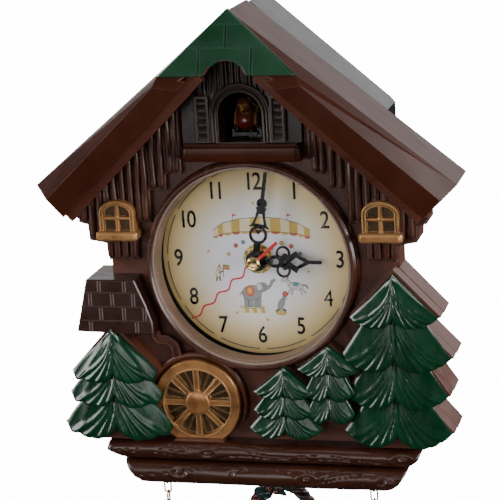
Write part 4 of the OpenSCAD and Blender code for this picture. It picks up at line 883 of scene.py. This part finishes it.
def make_chimney():
    """Brick stack: flat face with raised double joints, a top that slopes back, and a chute below."""
    stack = Shape()
    face = [(-103.5, -37.6), (-57.5, -39.0), (-57.6, -31.8), (-61.0, -21.1), (-67.0, -6.4), (-96.0, -6.6)]
    stack.prism(face, -26.8, -12.0, bevel=0.7)
    rows = [-6.6, -14.2, -22.4, -30.9, -38.4]
    joints = [(-88.2, -73.1), (-94.1, -80.8, -68.1), (-88.1, -74.2, -61.9), (-94.8, -67.0)]
    for k, xs in enumerate(joints):
        for x in xs:
            for dx in (-0.8, 0.8):
                # The joint ridges take the paler joint colour, a painted highlight.
                stack.tube([(x + dx, -26.85, rows[k] - 0.7), (x + dx - 0.1, -26.85, rows[k + 1] + 0.7)], 0.3,
                           sides=8, paint=1)
    for z, a, b in ((rows[1], -98.4, -64.2), (rows[2], -100.4, -61.2), (rows[3], -102.2, -58.0)):
        stack.tube([(lerp(a, b, i / 12), -26.7 + 0.08 * sin(3.0 * i), z + 0.12 * sin(2.3 * i))
                    for i in range(13)], 0.22, sides=6)
    stack.make("chimney_bricks", [brick_paint, joint_glint_paint], "brown_moulding", replaced=("brick_chimney",),
               sharp=40)

    chute = Shape()
    bend = [(-61.6, -39.5), (-61.2, -43.4), (-58.4, -46.2), (-52.8, -46.6), (-50.2, -48.6), (-49.4, -54.4)]
    sides = []
    for offset, radius in ((0.0, 0.55), (4.2, 0.7)):
        path = []
        for i, (x, z) in enumerate(bend):
            a, b = bend[max(i - 1, 0)], bend[min(i + 1, len(bend) - 1)]
            d = Vector((b[0] - a[0], b[1] - a[1])).normalized()
            path.append((x - d.y * offset, -17.2, z + d.x * offset))
        fine = []
        for p, q in zip(path, path[1:]):
            fine += [tuple(Vector(p).lerp(Vector(q), t / 5)) for t in range(5)]
        chute.tube(fine + [path[-1]], radius, sides=8)
        sides.append([(x, z) for x, y, z in path])
    chute.prism(sides[0] + sides[1][::-1], -16.4, -12.0)
    chute.make("chute_trough", wall_paint, "brown_moulding", replaced=("water_chute",), sharp=40)


def make_wheel():
    """Golden water wheel: lipped rim, paired spoke rails, domed hub, brown lip and a flat foot."""
    hub, r, foot = (-37.0, -82.5), 26.2, -104.0
    wheel = Shape()
    profile = [(r - 6.3, 13.0), (r - 6.3, 17.7), (r - 6.1, 18.2), (r - 5.5, 18.2), (r - 5.2, 17.8),
               (r - 0.9, 17.8),
               (r - 0.2, 17.2), (r, 16.4), (r, 12.2)]

    def spot(q, a, depth, aside=0.0):
        x, z = polar(q, a, hub, aside)
        return x, -depth, z

    wheel.sheet([[(x, y, max(z, foot)) for x, y, z in (spot(q, a, d) for q, d in profile)]
                 for a in turns(128) + [2 * pi]])
    wheel.turned([(0.01, 13.3), (r - 5.8, 13.3), (r - 5.8, 12.3), (0.01, 12.3)], hub, 64, paint=1)
    for k in range(24):
        a = radians(15 * k + 7.5)
        wheel.tube([spot(q, a, 13.4) for q in (7.0, 12.0, r - 6.4)], 0.45, sides=6, paint=1)
    wheel.turned([(0.01, 18.9), (3.5, 18.8), (6.2, 18.4), (7.1, 17.9), (7.5, 17.3), (7.6, 13.0),
                  (0.01, 13.0)], hub, 64)
    for k in range(8):
        a = radians(45 * k)
        ends = ((6.6, 1.35), (r - 5.8, 1.6), (r - 5.8, -1.6), (6.6, -1.35))
        wheel.prism([polar(q, a, hub, w) for q, w in ends], -16.1, -13.2)
        for w0, w1 in ((1.3, 1.55), (-1.3, -1.55)):
            wheel.tube([spot(6.8, a, 16.6, w0), spot(r - 5.9, a, 16.6, w1)], 0.34, sides=8)
    wheel.make("water_wheel_rim", [gold_paint, gold_shadow], "gold_wash", replaced=("water_wheel",), sharp=40)
    lip = Shape()
    path = [spot(r + 2.3, radians(-112 + 224 * k / 72), 14.6) for k in range(73)]
    lip.tube(path, lambda t: 2.1 - 0.9 * (2 * t - 1) ** 2, sides=10)
    lip.prism([(-52.0, -105.4), (-20.5, -105.4), (-22.0, -103.6), (-50.5, -103.6)], -21.5, -12.0, bevel=0.4)
    lip.make("wheel_lip", wall_paint, "brown_moulding")


def make_roof_trim():
    """Second board behind each bargeboard's lower edge, and the brown lip round the gable's hump."""
    trim = Shape()
    for side in (-1, 1):
        top, low = Vector((side * 18.5, -44.5, 116.5)), Vector((side * 103.2, -34.5, 35.2))
        drop, deep = Vector((side * -4.6, 0.8, -5.7)), Vector((0.0, 5.0, 0.0))
        corners = [top, low, low + drop, top + drop]
        block = corners + [p + deep for p in corners]
        trim.add(block, [(0, 1, 2, 3), (7, 6, 5, 4), (0, 4, 5, 1), (1, 5, 6, 2), (2, 6, 7, 3), (3, 7, 4, 0)])
    path = []
    hump = [(-13.2, 114.4), (-11.6, 115.4), (-10.2, 117.4), (-8.4, 119.8), (-5.8, 121.6), (0, 122.4),
            (5.8, 121.6), (8.4, 119.8),
            (10.2, 117.4), (11.6, 115.4), (13.2, 114.4)]
    for (x0, z0), (x1, z1) in zip(hump, hump[1:]):
        for t in range(4):
            x, z = lerp(x0, x1, t / 4), lerp(z0, z1, t / 4)
            path.append((x, -50.0 + (z - 113.5) * 0.368 + 1.2, z - 0.35))
    trim.tube(path, 0.62, sides=8)
    trim.make("gable_trim", wall_paint, "brown_moulding", sharp=40)


# ---- Dial print -------------------------------------------------------------------------------

class Print:
    """Flat inks on the dial, each drawn a hair in front of the last."""

    def __init__(self):
        self.shape, self.colours, self.layer = Shape(), [], 0
        self.origin = (0.0, 0.0)

    def area(self, outline, colour):
        self.layer += 1
        y = -0.03 - 0.0012 * self.layer
        n = len(outline)
        places = [(self.origin[0] + x, self.origin[1] + z) for x, z in outline]
        front = [(x, y, z) for x, z in places]
        rear = [(x, -0.002, z) for x, z in places]
        faces = [tuple(range(n)), tuple(range(n, 2 * n))[::-1]] + [(i, (i + 1) % n, n + (i + 1) % n, n + i)
                                                                   for i in range(n)]
        self.shape.add(front + rear, faces)
        self.colours += [colour] * len(faces)

    def spot(self, x, z, rx, rz, colour, turn=0.0, sides=22):
        s, c = sin(radians(turn)), cos(radians(turn))
        points = [(rx * cos(a), rz * sin(a)) for a in turns(sides)]
        self.area([(x + u * c - v * s, z + u * s + v * c) for u, v in points], colour)

    def line(self, points, width, colour):
        for (x0, z0), (x1, z1) in zip(points, points[1:]):
            d = Vector((x1 - x0, z1 - z0))
            n = Vector((-d.y, d.x)).normalized() * width / 2
            e = d.normalized() * width * 0.3
            self.area([(x0 + n.x - e.x, z0 + n.y - e.y), (x1 + n.x + e.x, z1 + n.y + e.y),
                       (x1 - n.x + e.x, z1 - n.y + e.y), (x0 - n.x - e.x, z0 - n.y - e.y)], colour)

    def blob(self, x, z, rx, rz, fill, turn=0.0):
        self.spot(x, z, rx + 0.22, rz + 0.22, INK, turn)
        self.spot(x, z, rx, rz, fill, turn)


INK = (0.035, 0.03, 0.03)
GREY, PALE, OCHRE, CREAM = (0.27, 0.27, 0.29), (0.62, 0.6, 0.6), (0.62, 0.4, 0.06), (0.8, 0.7, 0.42)
RED, TEAL, LEAF = (0.58, 0.07, 0.03), (0.06, 0.24, 0.26), (0.1, 0.26, 0.06)


def draw_awning(p):
    top = [(-26, 16.5), (-20, 20.8), (-10, 23.4), (2, 24.4), (14, 23.6), (24, 21.0), (31, 17.0)]
    low = [(-26, 12.5), (-20, 14.4), (-10, 15.6), (2, 16.2), (14, 15.6), (24, 14.6), (31, 12.6)]
    for k in range(6):
        for half in range(2):
            t0, t1 = half / 2, (half + 1) / 2
            a = [(lerp(top[k][0], top[k + 1][0], t), lerp(top[k][1], top[k + 1][1], t)) for t in (t0, t1)]
            b = [(lerp(low[k][0], low[k + 1][0], t), lerp(low[k][1], low[k + 1][1], t)) for t in (t1, t0)]
            p.area(a + b, OCHRE if (2 * k + half) % 2 else CREAM)
            x, z, w = (b[0][0] + b[1][0]) / 2, (b[0][1] + b[1][1]) / 2, abs(b[0][0] - b[1][0]) / 2
            p.area([(x + w * cos(turn), z + 0.1 - 1.5 * sin(turn)) for turn in turns(16)[:9]],
                   RED if (2 * k + half) % 2 else OCHRE)
    p.line(top, 0.35, INK)
    p.line(low, 0.3, INK)
    for x, z in ((-14, 22.6), (2, 24.6), (18, 22.8)):
        p.line([(x, z), (x, z + 3.6)], 0.3, INK)
        p.area([(x, z + 3.6), (x + 3.0, z + 2.8), (x, z + 2.0)], RED)


def draw_elephant(p):
    """A round grey elephant that stands on a striped drum and lifts its trunk."""
    for k in range(6):
        p.area([(-7 + 2.4 * k, -12.2), (-4.6 + 2.4 * k, -12.2), (-4.9 + 2.3 * k, -8.4),
                (-7.1 + 2.3 * k, -8.4)], OCHRE if k % 2 else CREAM)
    p.spot(-0.1, -8.3, 7.2, 1.2, INK)
    p.spot(-0.1, -8.2, 6.8, 0.95, CREAM)
    for dx in (-3.8, -1.2, 2.0, 4.2):
        p.line([(dx, -1.5), (dx * 0.9, -7.8)], 2.5, INK)
        p.line([(dx, -1.5), (dx * 0.9, -7.6)], 2.0, GREY)
    p.blob(0, 0, 5.8, 4.4, GREY, 8)
    p.spot(-1.2, 1.0, 2.7, 3.2, RED)
    p.spot(-1.2, 1.2, 1.5, 1.9, OCHRE)
    p.blob(6.4, 3.4, 2.9, 2.7, GREY)
    trunk = [(8.2, 3.0), (10.0, 3.2), (11.4, 4.8), (12.2, 7.0), (13.6, 7.8)]
    p.line(trunk, 1.6, INK)
    p.line(trunk, 1.15, GREY)
    p.blob(4.6, 3.6, 1.7, 2.2, PALE, 10)
    p.spot(7.2, 4.4, 0.35, 0.35, INK)
    p.line([(-5.8, 0.6), (-7.4, -1.4)], 0.5, INK)


def draw_pony(p):
    """A pale pony at a canter with a plume and a blanket."""
    for (dx, dz) in ((-3.6, -4.6), (-2.0, -5.0), (4.6, -3.8), (2.8, -5.0)):
        p.line([(dx * 0.75, -1.0), (dx, -3.0), (dx * 1.25, dz)], 0.95, INK)
        p.line([(dx * 0.75, -1.0), (dx, -3.0), (dx * 1.22, dz * 0.97)], 0.55, PALE)
    p.blob(0, 0, 4.4, 2.1, PALE, -6)
    p.line([(-3.4, 1.0), (-5.4, 3.8)], 2.0, INK)
    p.line([(-3.4, 1.0), (-5.4, 3.6)], 1.5, PALE)
    p.blob(-6.4, 3.8, 1.9, 0.95, PALE, 28)
    p.area([(-5.2, 4.6), (-4.2, 7.0), (-3.6, 4.4)], RED)
    p.spot(0.2, 1.0, 1.9, 1.3, TEAL)
    p.line([(4.2, 0.6), (6.4, 0.2), (7.0, -1.4)], 0.7, INK)


def draw_seal(p):
    p.blob(0, 0, 1.7, 3.6, GREY, -22)
    p.blob(1.9, 3.6, 1.2, 1.0, GREY, 30)
    p.blob(2.6, 6.0, 1.5, 1.5, RED)
    p.line([(-1.6, -3.2), (-3.4, -4.2)], 0.9, INK)
    p.line([(0.8, -3.0), (2.6, -3.8)], 0.9, INK)
    p.blob(-0.2, -5.2, 3.0, 1.2, OCHRE)


def draw_dog(p):
    p.blob(0, 0, 1.3, 2.3, CREAM, 8)
    p.blob(0.9, 3.1, 1.2, 1.1, CREAM)
    p.area([(0.2, 4.0), (0.9, 6.6), (1.7, 4.0)], RED)
    for dx in (-0.8, 0.8):
        p.line([(dx, -1.8), (dx * 1.3, -4.0)], 0.8, INK)
    p.line([(1.0, 0.8), (3.2, 1.8)], 0.7, INK)
    p.line([(3.2, -2.0), (3.2, 5.6)], 0.3, INK)
    for k, colour in enumerate((LEAF, OCHRE, RED)):
        p.area([(3.2, 5.6 - k * 0.9), (7.0, 5.2 - k * 0.9), (7.0, 4.3 - k * 0.9), (3.2, 4.7 - k * 0.9)],
               colour)


def make_dial_print():
    p = Print()
    for draw, p.origin in ((draw_awning, (0.0, 0.0)), (draw_elephant, (-5.0, -20.5)),
                           (draw_pony, (21.0, -16.0)), (draw_seal, (12.0, -27.0)), (draw_dog, (-24.5, -9.5))):
        draw(p)
    p.origin = (0.0, 0.0)
    for x, z, r, c in ((-13, 7.5, 1.1, RED), (-8.5, 9.6, 1.0, TEAL), (14, 9.2, 1.1, OCHRE),
                       (19.6, 7.4, 1.1, RED), (24.6, 3.0, 0.9, LEAF),
                       (-17.5, 2.5, 0.9, OCHRE), (8.0, 6.0, 0.9, LEAF)):
        p.blob(x, z, r, r, c)
    for x, z in ((-29.5, 4.0), (29.0, -7.5), (-14.5, -32.5), (-1.5, 32.5), (3.5, -36.5)):
        p.area([polar(0.55 if k % 2 else 1.3, pi * k / 5, (x, z)) for k in range(10)], OCHRE)
    # Thin rim line with gaps at the hours
    for k in range(12):
        arc = [radians(lerp(30 * k + 2.2, 30 * k + 27.8, i / 10)) for i in range(11)]
        p.area([polar(54.4, a) for a in arc] + [polar(53.8, a) for a in arc[::-1]], INK)
    mesh = piece("dial_drawing", p.shape.verts, p.shape.faces, printed_ink("dial_inks"), "dial_paper",
                 sharp=20, merge=0).data
    ink = mesh.attributes.new("ink", "FLOAT_COLOR", "CORNER")
    for polygon, colour in zip(mesh.polygons, p.colours):
        for k in polygon.loop_indices:
            ink.data[k].color = (*colour, 1.0)


def make_numerals():
    """The hours 1 to 12 as raised black figures."""
    verts, faces = [], []
    for hour in range(1, 13):
        curve = bpy.data.curves.new("numeral", "FONT")
        curve.body = str(hour)
        curve.size = 14.2
        curve.extrude = 0.05
        curve.offset = 0.0 if hour == 4 else 0.16
        curve.space_character = 0.86
        curve.resolution_u = 6
        holder = bpy.data.objects.new("numeral", curve)
        bpy.context.collection.objects.link(holder)
        bpy.context.view_layer.update()
        mesh = finished_mesh(holder)
        points = [v.co for v in mesh.vertices]
        cx, cz = ((min(p[k] for p in points) + max(p[k] for p in points)) / 2 for k in (0, 1))
        r = 46.0 if hour % 3 else (45.4 if hour in (6, 12) else 47.6)
        x0, z0 = polar(r, radians(30 * hour))
        n = len(verts)
        verts += [(x0 + (p.x - cx) * 0.8, -0.08 - p.z, z0 + (p.y - cz)) for p in points]
        faces += [tuple(i + n for i in f.vertices) for f in mesh.polygons]
        bpy.data.objects.remove(holder)
        bpy.data.curves.remove(curve)
        bpy.data.meshes.remove(mesh)
    # The sharp edges are marked before the seams of the figures are merged
    obj = piece("numerals", verts, faces, hand_paint, "black_hands", sharp=20, merge=None)
    bm = bmesh.new()
    bm.from_mesh(obj.data)
    bmesh.ops.remove_doubles(bm, verts=bm.verts, dist=2e-6)
    bmesh.ops.recalc_face_normals(bm, faces=bm.faces)
    bm.to_mesh(obj.data)
    bm.free()


# ---- Bird, wreath, cones, screws --------------------------------------------------------------

def ball(shape, centre, radii, turn=0.0, paint=0, ridges=0.0, seed=0.0, rings=20, segments=28):
    """An egg-like form with feathered ridges, turned about X."""
    rows = []
    s, c = sin(turn), cos(turn)
    for i in range(rings + 1):
        b = pi * i / rings
        row = []
        for j in range(segments):
            a = 2 * pi * j / segments
            d = Vector((sin(b) * cos(a), sin(b) * sin(a), cos(b)))
            k = 1 + ridges * abs(sin(5 * b + 2.2 * cos(3 * a)))
            k += ridges * 0.6 * wobble(d.x * 4 + seed, d.y * 4, d.z * 4)
            x, y, z = d.x * radii[0] * k, d.y * radii[1] * k, d.z * radii[2] * k
            row.append((centre[0] + x, centre[1] + y * c - z * s, centre[2] + y * s + z * c))
        rows.append(row)
    shape.sheet(rows, paint, close_u=True)


def make_bird():
    """A small plump bird: feathered body, folded wings, open beak and bead eyes."""
    shape = Shape()
    z0 = 73.9
    ball(shape, (0, -5.4, z0 + 9.6), (6.6, 8.8, 7.2), 0.35, 0, 0.05, 1.0, 28, 40)
    ball(shape, (0, -8.8, z0 + 8.4), (5.3, 5.6, 5.6), 0.2, 1, 0.04, 5.0, 22, 32)
    ball(shape, (0, -11.2, z0 + 17.2), (4.5, 4.7, 4.4), 0.0, 0, 0.03, 2.0, 22, 32)
    for side in (-1, 1):
        ball(shape, (side * 5.9, -4.2, z0 + 10.2), (1.7, 8.0, 4.6), 0.5, 0, 0.09, 3.0 + side, 22, 32)
        ball(shape, (side * 2.5, -14.9, z0 + 18.4), (0.75, 0.6, 0.75), 0.0, 2, 0.0, 0.0, 10, 14)
        leg = [(side * 1.8, -7.0, z0 + 4.6), (side * 1.9, -7.2, z0 + 2.0)]
        shape.tube(leg, 0.6, sides=8, paint=3)
    for k in (-1, 0, 1):
        shape.tube([(k * 1.6, 1.0, z0 + 10.0), (k * 2.2, 6.0, z0 + 12.4), (k * 2.8, 10.4, z0 + 13.6)],
                   lambda t: 1.5 - 0.9 * t, sides=8, flat=0.5)
    for tilt, size in ((0.7, 1.35), (-0.7, 1.1)):
        shape.tube([(0, -14.6, z0 + 16.8 + tilt * 0.5), (0, -17.0, z0 + 16.7 + tilt),
                    (0, -19.2, z0 + 16.3 + tilt * 1.6)], lambda t: size * (1 - 0.86 * t), sides=10, paint=3)
    shape.make("bird_body", [bird_paint, bird_red, hand_paint, beak_paint], "bird_paint", body="bird",
               replaced=("bird_figure",), sharp=55)


def make_wreath():
    """Twisted twigs on one half of the ring and dark leaves with berries on the other."""
    cy, cz, ring_r = 25.0, -164.5, 16.7
    twigs = Shape()
    for k in range(7):
        path = []
        twists = 5 + k % 3
        for a in turns(120):
            b = twists * a + k * 0.9
            r = ring_r + (2.6 + 0.5 * sin(3 * a + k)) * cos(b)
            path.append((r * sin(a), cy + 2.5 * sin(b), cz + r * cos(a)))
        twigs.tube(path, 1.25 + 0.12 * (k % 3), sides=7, closed=True)
    twigs.make("wreath_twigs", twig_paint, "wreath", body="pendulum", replaced=("pendulum_wreath",), sharp=60)
    rng = random.Random(5)
    leaf = Shape()
    rows = []
    for i in range(7):
        t = i / 6
        w = 2.3 * sin(pi * min(t * 0.94 + 0.03, 1)) ** 0.8
        rows.append([(x * w, -0.5 - 0.5 * (1 - abs(x)) - 0.9 * t * t, -4.6 + 9.2 * t)
                     for x in (-1, -0.5, 0, 0.5, 1)] +
                    [(x * w, 0.15 - 0.9 * t * t, -4.6 + 9.2 * t) for x in (0.5, 0, -0.5)])
    leaf.sheet(rows, close_u=True, caps=True)
    form = template("leaf_form", leaf)
    places = []
    for k in range(46):
        a = radians(rng.uniform(-178, 14))
        r = ring_r + rng.uniform(-4.0, 3.4)
        lift = -sqrt(max(0.0, 1 - ((r - ring_r) / 5.9) ** 2)) * 3.6
        places.append(((r * sin(a), cy + lift, cz + r * cos(a)),
                       (rng.uniform(-0.5, 0.3), a + pi / 2 + rng.uniform(-0.7, 0.7), rng.uniform(-0.4, 0.4)),
                       (0.85,) * 3))
    set_pieces("wreath_leaves", places, form, leaf_paint, "pendulum", 3)
    discard(form)
    berry = Shape()
    ball(berry, (0, 0, 0), (1.5, 1.5, 1.5), rings=7, segments=10)
    form = template("berry_form", berry)
    places = []
    for k in range(15):
        a = radians(rng.uniform(-165, 5))
        r = ring_r + rng.uniform(-3.0, 3.0)
        places.append(((r * sin(a), cy - 4.6, cz + r * cos(a)), (0, 0, 0), (1, 1, 1)))
    set_pieces("wreath_berries", places, form, berry_paint, "pendulum", 4)
    discard(form)


GOLDEN_TURN = 2.39996


def make_cones():
    """Pine-cone weights: a core with overlapping scales set round it in a spiral."""
    scale = Shape()
    rows = []
    for i in range(6):
        t = i / 5
        w = 3.3 * sqrt(max(0.0, 1 - (1.25 * t - 0.25) ** 2)) + 0.25
        z = 3.2 - 6.2 * t
        out = 1.2 + 1.5 * t
        rows.append([(x * w, -out - 0.55 * (1 - x * x), z) for x in (-1, -0.5, 0, 0.5, 1)]
                    + [(x * w, -out + 1.0, z + 0.2) for x in (0.6, 0, -0.6)])
    scale.sheet(rows, close_u=True, caps=True)
    form = template("scale_form", scale)
    for side, name in ((-1, "cone_left"), (1, "cone_right")):
        low, high = box_mm(name)
        x0, y0 = (low.x + high.x) / 2, (low.y + high.y) / 2
        top = high.z - 6.6
        height = top - low.z - 2.6
        core = Shape()

        def radius(t):
            return 12.6 * sin(pi * (0.1 + 0.86 * t)) ** 0.8

        rows = [[(x0 + radius(t) * 0.8 * cos(a), y0 + radius(t) * 0.8 * sin(a), low.z + 2.2 + height * t)
                 for a in turns(24)] for t in (i / 18 for i in range(19))]
        core.sheet(rows, close_u=True, caps=True)
        core.tube([(x0, y0, top - 1.5), (x0, y0, top + 4.4)], 1.5, sides=12)
        path = [(x, y0, z) for x, z in (polar(1.95, a, (x0, high.z - 2.5)) for a in turns(24))]
        core.tube(path, 0.55, sides=8, closed=True, paint=1)
        core.make(name + "_core", [cone_paint, chain_metal], "cone_brown", body=name, replaced=(name,),
                  sharp=60)
        places = []
        for k in range(96):
            t = (k + 0.5) / 96
            a = k * GOLDEN_TURN
            r = radius(t) * 0.8 - 1.0
            grow = 0.55 + 0.5 * sin(pi * (0.12 + 0.8 * t))
            places.append(((x0 + r * sin(a), y0 - r * cos(a), low.z + 3.4 + (height - 1.5) * t),
                           (0.25 - 0.5 * (t - 0.5), 0.0, a), (grow, grow, grow)))
        set_pieces(name + "_scales", places, form, cone_paint, name, 6)
    discard(form)


def make_screws():
    """Cross-head screws that close the rear housing."""
    head = Shape()
    profile = [(0.01, -0.9), (1.2, -0.95), (2.2, -0.6), (2.9, 0.0), (2.9, 0.9), (0.01, 0.9)]
    rows = [[(r * sin(a), -d, r * cos(a)) for r, d in profile] for a in turns(24)]
    head.sheet(rows + rows[:1])
    for a, b in ((1.6, 0.28), (0.28, 1.6)):
        head.prism([(-a, -b), (a, -b), (a, b), (-a, b)], 0.2, 1.02)
    form = template("screw_form", head)
    places = [((x, 46.6, z), (0, 0.4 * k, 0), (1, 1, 1))
              for k, (x, z) in enumerate(((-60, -70), (60, -70), (-66, 60), (66, 60)))]
    set_pieces("housing_screws", places, form, steel_metal, ROOT, 8)
    discard(form)


# ---- Everything in place ----------------------------------------------------------------------

for tree_name in TREES:
    make_tree(tree_name)
make_log("log_upper_bark", "log_upper", [(-116.0, -82, 86), (-110, -91, 92), (-104.0, -90, 94.5)],
         [(84, -110, 4.5), (-30, -110, 3.5)], 2.0)
make_log("log_lower_bark", "log_lower", [(-131.5, -72, 73.5), (-126.5, -76, 80), (-116.0, -82, 86)],
         [(76, -124, 5.5), (28, -124, 4.2), (-48, -122, 4.0)], 11.0)
make_cladding()
make_doorway()
make_windows()
make_chimney()
make_wheel()
make_roof_trim()
make_dial_print()
make_numerals()
make_bird()
make_wreath()
make_cones()
make_screws()

PAINTS = (
    (wall_paint, "front_case"), (roof_paint, "roof_shell"), (tile_paint, "gable_tiles"),
    (dark_paint, "door_surround shutters"), (bezel_paint, "bezel_ring"), (taupe_paint, "dial_ring"),
    (clear_cover("clear_cover"), "dial_lens"), (dial_paper("dial_paper"), "dial_plate"),
    (brass_metal, "dial_washer hex_nut shaft_bush second_cap pendulum_rod"),
    (black_matt, "dial_mount movement_case movement_cover battery_tray bird_guide bird_carriage"),
    (black_matt, "set_knob pendulum_hook"),
    (black_gloss, "rear_housing battery_door"), (hand_paint, "hour_hand minute_hand"),
    (red_paint, "second_hand test_button"), (gear_paint, "hour_wheel third_wheel motion_wheel bird_pinion"),
    (steel_metal, "minute_wheel second_wheel speaker sound_switch"),
    (chain_metal, "chain_eyes ring_left ring_right chain_left chain_right"),
    (cell_paint, "small_cell large_cells"), (board_green, "sound_board"),
)
for node_paint, node_names in PAINTS:
    for node_name in node_names.split():
        paint_node(node_name, node_paint)


# ---- Studio -----------------------------------------------------------------------------------

WHITE, PAPER_WHITE = (1.0, 1.0, 1.0, 1.0), 15.0


def camera_split(tree, output, seen, lit):
    """The camera sees one shader and all other rays meet the other."""
    ray = add_node(tree, "ShaderNodeLightPath").outputs["Is Camera Ray"]
    mix = add_node(tree, "ShaderNodeMixShader", {0: ray, 1: lit.outputs[0], 2: seen.outputs[0]})
    add_node(tree, output, {0: mix.outputs[0]})


def studio_floor():
    """A plain white floor that throws little light back."""
    low, size = CAD_BOX[0][2] - 0.06, 9.0
    mesh = bpy.data.meshes.new("studio_floor")
    corners = ((-1, -1), (1, -1), (1, 1), (-1, 1))
    mesh.from_pydata([(size * x, size * y, low) for x, y in corners], [], [(0, 1, 2, 3)])
    floor = bpy.data.objects.new("studio_floor", mesh)
    bpy.context.collection.objects.link(floor)
    material = bpy.data.materials.new("studio_white")
    material.use_nodes = True
    tree = material.node_tree
    tree.nodes.clear()
    matte = add_node(tree, "ShaderNodeBsdfDiffuse", {"Color": (0.035, 0.035, 0.035, 1.0)})
    glow = add_node(tree, "ShaderNodeEmission", {"Color": WHITE, "Strength": PAPER_WHITE})
    camera_split(tree, "ShaderNodeOutputMaterial", glow, matte)
    mesh.materials.append(material)


def studio_sky():
    """White behind the clock and a faint even light all round."""
    world = bpy.data.worlds.new("studio_sky")
    world.use_nodes = True
    bpy.context.scene.world = world
    tree = world.node_tree
    tree.nodes.clear()
    soft = add_node(tree, "ShaderNodeBackground", {"Color": (0.95, 0.97, 1.0, 1.0), "Strength": 0.07})
    white = add_node(tree, "ShaderNodeBackground", {"Color": WHITE, "Strength": PAPER_WHITE})
    camera_split(tree, "ShaderNodeOutputWorld", white, soft)


def softbox(name, place, aim, size, power):
    lamp = bpy.data.lights.new(name, "AREA")
    lamp.shape = "RECTANGLE"
    lamp.size, lamp.size_y = size
    lamp.energy = power
    obj = bpy.data.objects.new(name, lamp)
    obj.location = place
    obj.rotation_euler = (Vector(aim) - Vector(place)).to_track_quat("-Z", "Y").to_euler()
    bpy.context.collection.objects.link(obj)


def camera():
    azimuth, elevation, roll = radians(15.18), radians(14.58), radians(-3.36)
    distance = 1.09807
    aim = at((-4.75, 0.0, 4.9))
    back = Vector((sin(azimuth) * cos(elevation), -cos(azimuth) * cos(elevation), sin(elevation)))
    right = Vector((0, 0, 1)).cross(back).normalized()
    up = back.cross(right)
    x = cos(roll) * right + sin(roll) * up
    y = -sin(roll) * right + cos(roll) * up
    lens = bpy.data.cameras.new("camera")
    lens.lens = 138.24
    lens.sensor_width = 36.0
    lens.clip_end = 50.0
    obj = bpy.data.objects.new("camera", lens)
    place = Matrix((x, y, back)).transposed().to_4x4()
    place.translation = aim + back * distance
    obj.matrix_world = place
    bpy.context.collection.objects.link(obj)
    bpy.context.scene.camera = obj


studio_floor()
studio_sky()
softbox("key_left", (-1.75, -1.0, 0.35), (0, -0.07, -0.1), (0.7, 1.5), 40.0)
softbox("key_right", (1.8, -0.8, 0.35), (0, -0.07, -0.1), (0.8, 1.5), 50.0)
softbox("front_panel", (-0.3, -2.4, 0.2), (0, -0.07, -0.1), (1.7, 0.75), 17.0)
softbox("low_panel", (-0.6, -2.4, -0.5), (0, -0.07, -0.05), (0.9, 0.4), 3.0)
softbox("top", (0.1, -0.3, 1.5), (0, -0.05, -0.05), (1.4, 0.9), 8.0)
softbox("backdrop", (0.2, 2.0, 0.5), (0, 0.0, 0.0), (3.2, 0.8), 8.0)
softbox("rear_left", (-1.7, 1.3, 0.3), (0, 0.0, -0.1), (0.9, 1.3), 34.0)
softbox("rear_right", (1.7, 1.3, 0.3), (0, 0.0, -0.1), (0.9, 1.3), 34.0)
camera()
